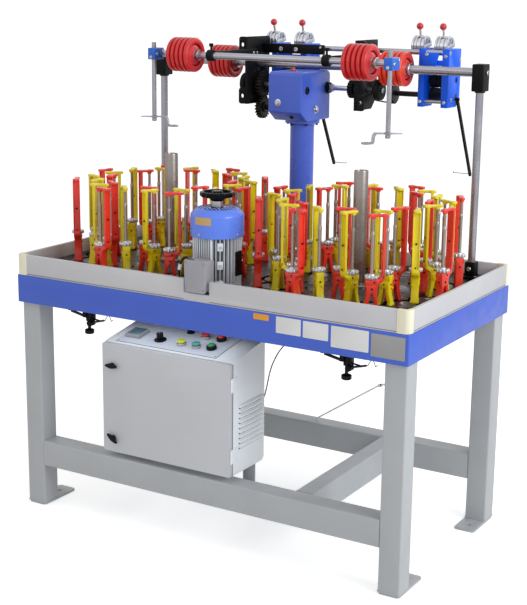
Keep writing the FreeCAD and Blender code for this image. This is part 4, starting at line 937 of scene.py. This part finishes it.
def take_up_belt(x):
    """Closed belt from the cross shaft to the driven roller, and its place."""
    dy, dz = ROLLER_Y - SHAFT_Y, DRIVEN_Z - SHAFT_Z
    line, length = atan2(dz, dy), hypot(dy, dz)
    outer, inner = [
        [(SHAFT_Y + u * cos(line) - v * sin(line), SHAFT_Z + u * sin(line) + v * cos(line))
         for u, v in arc(radius, range(90, 271, 9)) + arc(radius, range(270, 451, 9), (length, 0))]
        for radius in (40.0, 36.4)]
    return plate(outer, x + 0.8, x + 17.2, [inner]), AXIS_X


# ---------------------------------------------------------------- grooved pulleys
def make_pulley(body, material):
    """Guide pulley with five ribs, its dished faces, bearings and bearing shields."""
    low, high = node_box(body)
    y, z = (low[1] + high[1]) / 2, (low[2] + high[2]) / 2
    bar = 12.0 if abs(y) < 50 else 16.0
    ribs, width = 5, 95.0
    step = width / ribs
    profile = [(30, 8.5), (40, 8.5), (41, 1.0), (44, 0.0), (57, 0.0), (60.6, 1.6)]
    for k in range(ribs):
        mid, groove = step * (k + 0.5), step * (k + 1)
        profile += [(62.0, mid - 5.5), (62.5, mid - 2.5), (62.5, mid + 2.5), (62.0, mid + 5.5)]
        if k < ribs - 1:
            profile += [(58, groove - 3.0), (49.5, groove - 1.4), (47.5, groove),
                        (49.5, groove + 1.4), (58, groove + 3.0)]
    profile += [(60.6, 93.4), (57, width), (44, width), (41, 94.0), (40, 86.5), (30, 86.5),
                (30, 8.5)]
    piece("grooved_" + body, (turned(profile, 72), from_x(low[0], y, z)), material, body,
          body=body)
    ends = [facing(1, low[0], y, z), facing(-1, high[0], y, z)]
    face = turned([(bar + 6.5, 8), (bar + 6.5, 1.5), (28, 2.5), (36, 6.2), (36, 8),
                   (bar + 6.5, 8)])
    hub = turned([(bar + 0.4, 0.6), (bar + 4.5, 0.6), (bar + 5.5, 1.6), (bar + 5.5, 6),
                  (bar + 0.4, 6)], 40)
    shield = turned([(bar + 5.4, 8.0), (41, 8.0), (41, 9.0), (bar + 5.4, 9.0)], 40)
    piece("face_" + body, (face, *ends), material, body=body)
    piece("bearing_" + body, (hub, *ends), BRIGHT_STEEL, body=body)
    piece("bearing_shield_" + body, (shield, *ends), BLACK_OXIDE, body=body)


# ---------------------------------------------------------------- guides
def make_guides():
    clamps, rods, screws = [], [], []
    for side, x in (("left", -457.0), ("right", 510.0)):
        clamps += [block((x - 16.5, -45, 1687), (x + 16.5, 15, 1729), 3.0, 3),
                   block((x - 16.8, -12.6, 1704), (x + 16.8, -11.4, 1712), 0.3, 1)]
        rods.append(rod((x, GUIDE_ROD_Y, 1480), (x, GUIDE_ROD_Y, 1750), 8.4, width=1.2))
        screws += [bolt(spot, along, 6.0, 4.5) for spot, along in
                   (((x + 16.5, -34, FRONT_BAR_Z), (1, 0, 0)), ((x + 16.5, 3, 1719), (1, 0, 0)),
                    ((x, -45, 1696), FORWARD))]
        make_guide_arm(side, x)
    piece("guide_bar_clamps", clamps, CLAMP_BLUE, "guide_clamps")
    piece("guide_drop_rods", rods, BAR_CHROME, "guide_rods")
    piece("guide_clamp_screws", screws, BRIGHT_STEEL)


def make_guide_arm(side, x):
    """Flat cranked arm under the rod, with a drop at its end and a ring eye below."""
    top = 1479.7
    crank = [(-50, top - 1), (-50, top - 5), (38, top - 6), (43, top - 14), (44, top - 32),
             (48, top - 40), (62, top - 40), (62, top - 34), (56, top - 31), (54, top - 10),
             (48, top)]
    hub = turned([(0, top), (13, top), (15, top - 1.6), (15, top - 5), (13.6, top - 6),
                  (0, top - 6)], 36)
    nut = turned([(0, top - 6), (9, top - 6), (9, top - 18), (7.6, top - 20), (0, top - 20)], 6)
    eye = turned([(9.4, -3), (8, -1.6), (8, 1.6), (9.4, 3), (15.6, 3), (17, 1.6), (17, -1.6),
                  (15.6, -3), (9.4, -3)], 40)
    arm = join((plate(crank, -6.0, 6.0, (), 1.4, 2, 25.0), AXIS_Y), hub, nut,
               (eye, at(73, 0, top - 37)))
    turn = at(x, GUIDE_ROD_Y, 0) @ rotated(31.0 if side == "left" else 211.0, "Z")
    piece("swing_guide_" + side, (arm, turn), BAR_CHROME, "guide_arm_" + side,
          body="guide_arm_" + side)


# ---------------------------------------------------------------- nip units
def make_nip_units():
    plates, screws, rubber = [], [], []
    profile = [(395, 1532), (475, 1532), (505, 1562), (505, 1742), (395, 1742)]
    holes = [circle(9.9, 24, (TIE_BAR_Y, TIE_BAR_Z)), circle(10.4, 24, (ROLLER_Y, DRIVEN_Z)),
             circle(10.4, 24, (ROLLER_Y, PRESS_Z))]
    for x, width, side in ((-201.0, 154.0, "left"), (421.0, 119.0, "right")):
        end = x + width
        gap0, gap1 = x + 22, end - 27
        plates += [(plate(profile, x0, x1, holes, 2.6), AXIS_X)
                   for x0, x1 in ((x, gap0), (gap1, end))]
        mid = (gap0 + gap1) / 2 - 8
        wedge = plate([(mid - 34, 1730), (mid - 30, 1700), (mid - 18, 1648), (mid + 14, 1648),
                       (mid + 26, 1700), (mid + 34, 1730)], -395, -383, (), 2.2)
        plates += [(wedge, AXIS_Y),
                   block((gap0 - 0.5, 395.3, 1682), (gap1 + 0.5, 399, 1702), 0.8, 1)]
        screws += [bolt(spot, FORWARD, 6.5, 5.0) for spot in
                   ((mid - 12, 383, 1722), (mid + 9, 383, 1664), (end - 13, 395, 1716),
                    (end - 13, 395, 1552), (x + 11, 395, 1552))]
        screws += [bolt((end, y, z), (1, 0, 0), 6.5, 5.0) for y, z in ((420, 1560), (490, 1700))]
        start, length = gap0 + 1, gap1 - gap0 - 2
        wheel_x = BELT_WHEEL_X[side]
        knurl = plate(lobed(60, ((0.0, 28.0), (0.5, 26.8))), start, start + length)
        driven = [bar_x(wheel_x - 6, end, ROLLER_Y, DRIVEN_Z, 10, width=0.8),
                  (belt_wheel(), from_x(wheel_x, ROLLER_Y, DRIVEN_Z)),
                  (knurl, from_x(0, ROLLER_Y, DRIVEN_Z))]
        piece("driven_roller_" + side, driven, ROLLER_STEEL, "driven_rollers",
              body="driven_rollers")
        roller = turned([(10, 0), (28, 0), (29.8, 1.8), (29.8, length * 0.38),
                         (27, length * 0.4), (27, length * 0.5), (29.8, length * 0.52),
                         (29.8, length - 1.8), (28, length), (10, length)])
        rubber += [(roller, from_x(start, ROLLER_Y, PRESS_Z)),
                   bar_x(x + 3, end - 3, ROLLER_Y, PRESS_Z, 10)]
        make_cam(side + "_outer", x - 0.3 - CAM_WIDTH)
        make_cam(side + "_inner", gap1 - 0.3 - CAM_WIDTH)
        make_stop_arm(side, end)
    piece("nip_side_frames", plates, NIP_BLUE, "nip_side_plates")
    piece("nip_frame_screws", screws, BRIGHT_STEEL)
    piece("rubber_press_rollers", rubber, RUBBER, "press_rollers", body="press_rollers")


def make_cam(name, x):
    """Half-round cam with ribbed rim and pocketed faces; its lever and ball lean forward."""
    body, mid = "cam_" + name, x + CAM_WIDTH / 2
    lean = at(0, ROLLER_Y, CAM_Z) @ rotated(15, "X")
    half, pocket = range(-16, 197, 6), arc(27, range(14, 167, 9))
    parts = [plate(arc(34, half), 6, 44, (), 1.0, 1, 40.0)]
    parts += [plate(arc(38.5, half), low, high, holes, 1.6, 2, 40.0) for low, high, holes in
              ((0, 9, [pocket]), (14, 20.5, ()), (29.5, 36, ()), (41, CAM_WIDTH, [pocket]))]
    parts += [turned([(0, low), (11, low), (12, low + 1), (12, low + 7), (0, low + 7)], 28)
              for low in (1, 42)]
    web = block((x + 1, -3, 4), (x + 49, 3, 30), 1.5)
    piece("cam_disc_" + name, [(join(*parts), lean @ from_x(x, 0, 0)),
                               (web, lean @ rotated(-25, "X"))],
          CHROME, "cam_lever_" + name, body=body)
    nut = turned([(4, 36), (8, 36), (8, 39.5), (6.4, 41), (4, 41)], 20)
    lever = join(rod((mid, 0, 30), (mid, 0, 66), 4, sides=20), (nut, at(mid, 0, 0)))
    piece("cam_lever_rod_" + name, (lever, lean), BRIGHT_STEEL, body=body, slot="chrome")
    ball = bmesh.new()
    bmesh.ops.create_uvsphere(ball, u_segments=28, v_segments=18, radius=12.8,
                              matrix=lean @ at(mid, 0, 74))
    piece("cam_ball_" + name, ball, BALL_RED, body=body)


def make_stop_arm(side, plate_x):
    """Leaning stop-motion arm on its pin, with a bent feeler wire at the low end."""
    body, x, y, z = "stop_arm_" + side, plate_x + 4, STOP_ARM_Y, STOP_ARM_Z
    lean = at(0, y, z) @ rotated(28, "X")
    bar = plate(stadium(-7, STOP_ARM_LENGTH + 10, 7.0), 0, 8, (), 1.0, 1, 40.0)
    down = Matrix(((0, 0, 1, 0), (0, 1, 0, 0), (-1, 0, 0, 0), (0, 0, 0, 1)))
    piece("stop_motion_arm_" + side,
          [(bar, lean @ at(x, 0, 0) @ down), bar_x(plate_x + 0.3, x + 12, y, z, 6, 20, 0.8)],
          BLACK_OXIDE, body, body=body)
    reach, bent = (-64, -67) if side == "right" else (54, 67)
    low, knee = -STOP_ARM_LENGTH, x + reach
    feeler = join(rod((x + 4, 0, low), (knee, 0, low), 1.6, sides=12),
                  rod((knee, 0, low), (x + (reach + bent) / 2 + 4, 0, low + 6), 1.6, sides=12))
    piece("stop_feeler_wire_" + side, (feeler, lean), BAR_CHROME, body=body)


# ---------------------------------------------------------------- under the table
def spring(start, end, radius, count):
    """Close-wound tension spring drawn as a row of wire rings, with straight ends."""
    start, end = Vector(start), Vector(end)
    along = (end - start).normalized()
    step = (end - start).length / count
    ring = turned([(radius - 1.4, 0), (radius, 0.3), (radius, step * 0.6),
                   (radius - 1.4, step * 0.9), (radius - 1.4, 0)], 12)
    places = [Matrix.Translation(start + along * step * k) @ along_matrix(along)
              for k in range(count)]
    return join((ring, *places), rod(start - along * 6, end + along * 6, 1.3, sides=8))


def wire(path, radius):
    """Thin round wire through a list of points."""
    part = join(*[rod(start, end, radius, sides=10) for start, end in zip(path, path[1:])])
    for spot in path[1:-1]:
        bmesh.ops.create_icosphere(part, subdivisions=1, radius=radius * 1.02,
                                   matrix=Matrix.Translation(spot))
    return part


def make_tensioners():
    solids, springs, knobs = [], [], []
    y, right_y = -338.0, -352.0
    for x in (-SPRING_BLOCK_X, SPRING_BLOCK_X):
        solids += [block((x - 8, y - 8, 800), (x + 8, y + 8, 903), 1.5),
                   block((x - 20, y - 17, 756), (x - 1.5, y + 17, 800), 3.0),
                   block((x + 1.5, y - 14, 744), (x + 21, y + 14, 800), 3.0),
                   block((x - 8, y - 12, 742), (x + 8, y + 12, 770), 3.0),
                   rod((x + 15, y - 24, 738), (x + 15, y + 6, 738), 11, sides=24, width=1.5),
                   rod((x + 20, y, 752), (x + 58, y, 748), 3.4, 2.4, 14)]
        springs += [spring((x - 84, y, 770), (x - 24, y, 758), 5.4, 16),
                    spring((x + 34, right_y, 745), (x + 80, right_y, 757), 4.0, 12),
                    wire([(x - run, y, z) for run, z in
                          ((88, 771), (98, 770), (104, 777), (102, 790), (96, 799))], 1.3),
                    wire([(x + run, right_y, z) for run, z in
                          ((84, 758), (92, 772), (100, 780), (108, 770), (112, 758),
                           (120, 764))], 1.3)]
        knob = turned([(0, 694), (14, 694), (17.5, 697), (17.5, 709), (12, 712), (0, 712)], 24)
        knobs += [rod((x, y, 708), (x, y, 744), 6, sides=16), (knob, at(x, y, 0))]
    piece("core_yarn_tensioners", solids, BLACK_OXIDE, "core_tensioners")
    piece("tensioner_springs", springs, GEAR_IRON, slot="bright_steel")
    piece("tensioner_knobs", knobs, BLACK_PLASTIC)
    route = [(240, -160, 903), (232, -163, 800), (205, -165, 728), (181, -165, 700),
             (161, -165, 667), (141, -165, 619), (129, -165, 557), (118, -168, 505),
             (100, -178, 480)]
    cable("cabinet_supply_cable", route, 4.8, SHADE_AND_DARK_GREY)
    link = wire([(711, -373, 716), (676, -373, 706), (45, 373, 270), (43, 378, 262)], 3.2)
    piece("thin_link_rod", link, CABINET_SIDE, slot="bright_steel")
    piece("link_rod_end", rod((684, -373, 708.3), (671, -367, 702.5), 4.6, sides=14, width=1.0),
          BLACK_OXIDE)


# ---------------------------------------------------------------- cabinet
def make_cabinet():
    slope = tan(radians(CABINET_SLOPE))
    (left, right), (low, high) = CABINET_X, CABINET_Z
    front, back, corner = CABINET_FRONT, CABINET_BACK, 12.0
    front_top, back_top = high + 18.3 * slope, high + 233 * slope
    side = [(front, low), (back - corner, low), (back, low + corner), (back, back_top),
            (front, front_top)]
    skin = side + [(front, front_top - 4), (back - 4, back_top - 4.7),
                   (back - 4, low + 1.7 + corner), (back - 1.6 - corner, low + 4),
                   (front, low + 4)]
    shell = [plate(side, x, x + 4, (), 1.2) for x in (left, right - 4)]
    shell.append(plate(skin, left + 2.5, right - 2.5, (), 1.0, 2, 20.0))
    piece("cabinet_shell", (join(*shell), AXIS_X), CABINET_SIDE, "cabinet_body")
    louvres, louvre_shade_strips = [], []
    for z in (377.0 + 18.5 * k for k in range(9)):
        hood = plate([(0, z), (8.5, z + 0.5), (9.6, z + 3.0), (8.6, z + 6.0), (0, z + 12.5)],
                     190.0, 350.0, (), 1.2, 2, 20.0)
        louvres.append((hood, at(125.7, 0, 0) @ AXIS_Y))
        # a flat grey strip on the wall under each hood is painted shade
        louvre_shade_strips.append(block((right, -350, z - 5.5), (right + 0.3, -190, z)))
    piece("cabinet_louvres", louvres, CABINET_SIDE)
    piece("louvre_painted_shade", louvre_shade_strips, SHADE_AND_DARK_GREY, slot="cabinet_white")
    piece("door_gap", block((right, -391.6, low + 1), (right + 0.3, -388.4, high - 1)),
          DARK_JOINT_AND_SHADE, slot="cabinet_white")
    door = plate(rounded(left, 125.7, low, high, 5.0), 392.0, -DOOR_FRONT, (), 2.0)
    piece("cabinet_front_door", (door, AXIS_Y), CABINET_GREY, "cabinet_door", body="door")
    seal = plate(rounded(-418, 119.5, 289, 687, 3.0), 391.72, 392.0,
                 [rounded(-412, 113, 295, 681, 3.0)])
    piece("door_seal", (seal, AXIS_Y), RUBBER, body="door")
    hinges = []
    for z in (333.0, 593.0):
        hinges += [rod((130, -404, z), (130, -404, z + 50), 4, sides=16, width=0.6),
                   block((126.2, -404, z), (129, -362, z + 50), 0.8)]
    piece("cabinet_hinges", hinges, CABINET_SIDE, "door_hinges", slot="bright_steel")
    stay = [(-LEG_Y[0], 205), (-232, 205), (-232, low), (-238, low), (-238, 211),
            (-LEG_Y[0], 211)]
    stays = [plate(stay, x, x + 50, (), 0.8) for x in (-345.0, 75.0)]
    piece("cabinet_stays", (join(*stays), AXIS_X), FRAME_GREY, "cabinet_brackets")
    half = [(-26, -2.5), (-22, -4.5), (-11, -8), (0, -9.5), (11, -8), (22, -4.5), (26, -2.5)]
    wing = half + [(x, -y) for x, y in reversed(half)]
    for name, z, tilt in (("lower", 337.0, 35.0), ("upper", 613.0, 0.0)):
        latch = join(plate(wing, 417.5, 424.6, (), 1.8, 2, 20.0),
                     plate(circle(11, 28), 410.3, 418, (), 1.0))
        name = "latch_" + name
        piece("door_" + name, (latch, at(-377, 0, z) @ rotated(tilt, "Y") @ AXIS_Y),
              BLACK_PLASTIC, name, body=name)


def on_top(x, run, lift=0.0):
    """Place on the sloping cabinet top: across, up the slope from its front edge, and out."""
    slope = radians(CABINET_SLOPE)
    return (at(x, DOOR_FRONT + run * cos(slope), CABINET_Z[1] + run * sin(slope))
            @ rotated(CABINET_SLOPE, "X") @ at(0, 0, lift))


def make_controls():
    top, speed, selector = on_top(0, 0), on_top(-227, 90), (-158, 186)
    panel = plate(rounded(-385, 47, 32, 226, 3.0), 0, 2.0, (), 0.5)
    piece("control_face_plate", (panel, top), PANEL_PLATE, "control_panel")
    # a dark rim just outside the face plate: painted shadow along its edges
    rim = plate(rounded(-386.4, 48.4, 30.6, 227.4, 3.6), 0.05, 0.7)
    piece("control_plate_painted_shadow", (rim, top), DARK_JOINT_AND_SHADE)
    screw = turned([(0, 1.4), (2.6, 1.4), (3.6, 0), (0, 0)], 16)
    spots = [on_top(x, run, 2.0) for x in (-377, 39) for run in (39, 219)]
    piece("control_plate_screws", (screw, *spots), BRIGHT_STEEL)
    display = plate(rounded(-372, -307, 70, 138, 4.0), 2.0, 13.5, (), 1.6)
    piece("display_case", (display, top), BOX_GREY, slot="tray_aluminium")
    glass = plate(rounded(-366, -313, 78, 134, 2.0), 13.4, 14.0, (), 0.3)
    piece("display_window", (glass, top), DISPLAY_GLASS)
    bezels = []
    for name, x, run, material in (("jog_button", -129, 82, BUTTON_YELLOW),
                                   ("start_button", -66, 82, BUTTON_GREEN),
                                   ("stop_button", -78, 164, BUTTON_RED)):
        ring = turned([(11.4, 2), (17, 2), (17, 10.6), (16, 11.6), (11.4, 11.6), (11.4, 2)], 36)
        cap = turned([(0, 20), (14.6, 20), (16.4, 18.6), (16.4, 16.2), (10.9, 16.2),
                      (10.9, 6.6), (0, 6.6)], 36)
        bezels.append((ring, on_top(x, run)))
        piece(name + "_cap", (cap, on_top(x, run)), material, name, body=name)
    ring = turned([(0, 5.4), (15.2, 5.4), (16.2, 4.4), (16.2, 2), (0, 2)], 36)
    piece("button_bezels", [*bezels, (ring, on_top(*selector, -3.2))], BRIGHT_STEEL)
    lamps = (("green", -8, 92, LAMP_GREEN), ("red", -14, 168, LAMP_RED))
    bezel = turned([(0, 13), (14.2, 13), (14.8, 16), (17.2, 15.4), (18.6, 12), (18.6, 2),
                    (0, 2)], 36)
    piece("pilot_lamp_bezels", (bezel, *[on_top(x, run) for _, x, run, _ in lamps]),
          BLACK_PLASTIC, "pilot_lamps")
    for colour, x, run, material in lamps:
        lens = turned([(0, 24), (6, 23.4), (10.6, 21), (13.4, 17.4), (14.1, 13.2),
                       (0, 13.2)], 36)
        piece("lamp_lens_" + colour, (lens, on_top(x, run)), material)
    skirt = turned([(0, 7.8), (17, 7.6), (22.4, 5.6), (23, 2.4), (0, 2.4)])
    grip = plate(lobed(16, ((-0.25, 12.6), (0.25, 12.6), (0.5, 11.6))), 7.2, 29.5, (), 1.2)
    piece("speed_control_knob", (join(skirt, grip), speed), BLACK_PLASTIC, "speed_knob",
          body="speed_knob")
    mark = block((-0.9, 3, 29.4), (0.9, 12, 29.9))
    piece("speed_knob_pointer", (mark, speed @ Matrix.Rotation(0.6, 4, "Z")), PLATE_WHITE,
          body="speed_knob", slot="cream_plastic")
    dial = join(turned([(0, 9), (13, 9), (14.6, 7.6), (14.8, 2.4), (0, 2.4)], 36),
                block((-4, -14, 8), (4, 14, 24), 2.2))
    piece("mode_selector_knob", (dial, on_top(*selector)), BLACK_PLASTIC, "mode_selector",
          body="mode_selector")


# ---------------------------------------------------------------- stage
FLOOR_GLOW = 0.5
WORLD_STRENGTH = 0.62
WHITE, COOL_WHITE = (1.0, 1.0, 1.0), (0.9, 0.96, 1.0)


def make_floor():
    """White floor with a faint glow of its own that only the camera sees."""
    floor = bmesh.new()
    bmesh.ops.create_grid(floor, x_segments=1, y_segments=1, size=60.0)
    mesh = bpy.data.meshes.new("studio_floor")
    floor.to_mesh(mesh)
    floor.free()
    material = bpy.data.materials.new("studio_floor")
    material.use_nodes = True
    tree = material.node_tree
    sight = node(tree, "LightPath", {}).outputs["Is Camera Ray"]
    glow = node(tree, "Math", {0: sight, 1: FLOOR_GLOW}, operation="MULTIPLY").outputs[0]
    feed(tree, tree.nodes["Principled BSDF"], {
        "Base Color": (0.9, 0.9, 0.9, 1.0), "Roughness": 0.9,
        "Emission Color": (*WHITE, 1.0), "Emission Strength": glow})
    mesh.materials.append(material)
    into_scene("studio_floor", mesh)


def make_world():
    """White all round, at full strength to the camera and in mirrors, and dimmer as light."""
    world = bpy.data.worlds.new("studio")
    bpy.context.scene.world = world
    world.use_nodes = True
    tree = world.node_tree
    rays = node(tree, "LightPath", {}).outputs
    seen = rays["Is Camera Ray"]
    for kind in ("Is Glossy Ray", "Is Transmission Ray"):
        seen = node(tree, "Math", {0: seen, 1: rays[kind]}, operation="MAXIMUM").outputs[0]
    strength = node(tree, "MapRange", {"Value": seen, "To Min": WORLD_STRENGTH, "To Max": 1.0})
    feed(tree, tree.nodes["Background"], {"Color": (*WHITE, 1.0),
                                          "Strength": strength.outputs["Result"]})


def lamp(name, place, target, size, power, depth=None, tint=WHITE):
    data = bpy.data.lights.new(name, "AREA")
    data.color = tint
    data.shape = "RECTANGLE"
    data.size = size
    data.size_y = depth or size
    data.energy = power
    thing = into_scene(name, data)
    thing.location = place
    aim = Vector(target) - Vector(place)
    thing.rotation_euler = aim.to_track_quat("-Z", "Y").to_euler()


def make_stage():
    make_floor()
    make_world()
    lamp("key_light", (5.2, -0.8, 3.4), (0, 0, 0.9), 2.6, 154.0, tint=COOL_WHITE)
    lamp("front_light", (-1.6, -4.6, 3.6), (0, 0, 0.9), 3.0, 14.0)
    lamp("rear_light", (1.0, 4.5, 3.6), (0, 0, 1.0), 2.6, 30.0)
    lamp("panel_light", (-0.16, -0.36, 0.795), (-0.16, -0.34, 0.0), 0.56, 0.27, 0.18, COOL_WHITE)


make_table()
make_apron()
make_tray()
make_name_plates()
make_heads()
make_carriers()
make_motor()
make_terminal_box()
make_column()
make_gearbox()
make_bars()
make_side_brackets()
make_drive()
for pulley in ("front_pulley_left", "front_pulley_right", "rear_pulley_left"):
    make_pulley(pulley, PULLEY_RED)
make_pulley("rear_pulley_right", PULLEY_ORANGE)
make_guides()
make_nip_units()
make_tensioners()
make_cabinet()
make_controls()
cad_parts["bed_plate"].data.materials.clear()
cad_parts["bed_plate"].data.materials.append(DECK_STEEL)
make_stage()
bpy.context.scene.view_settings.view_transform = "Standard"
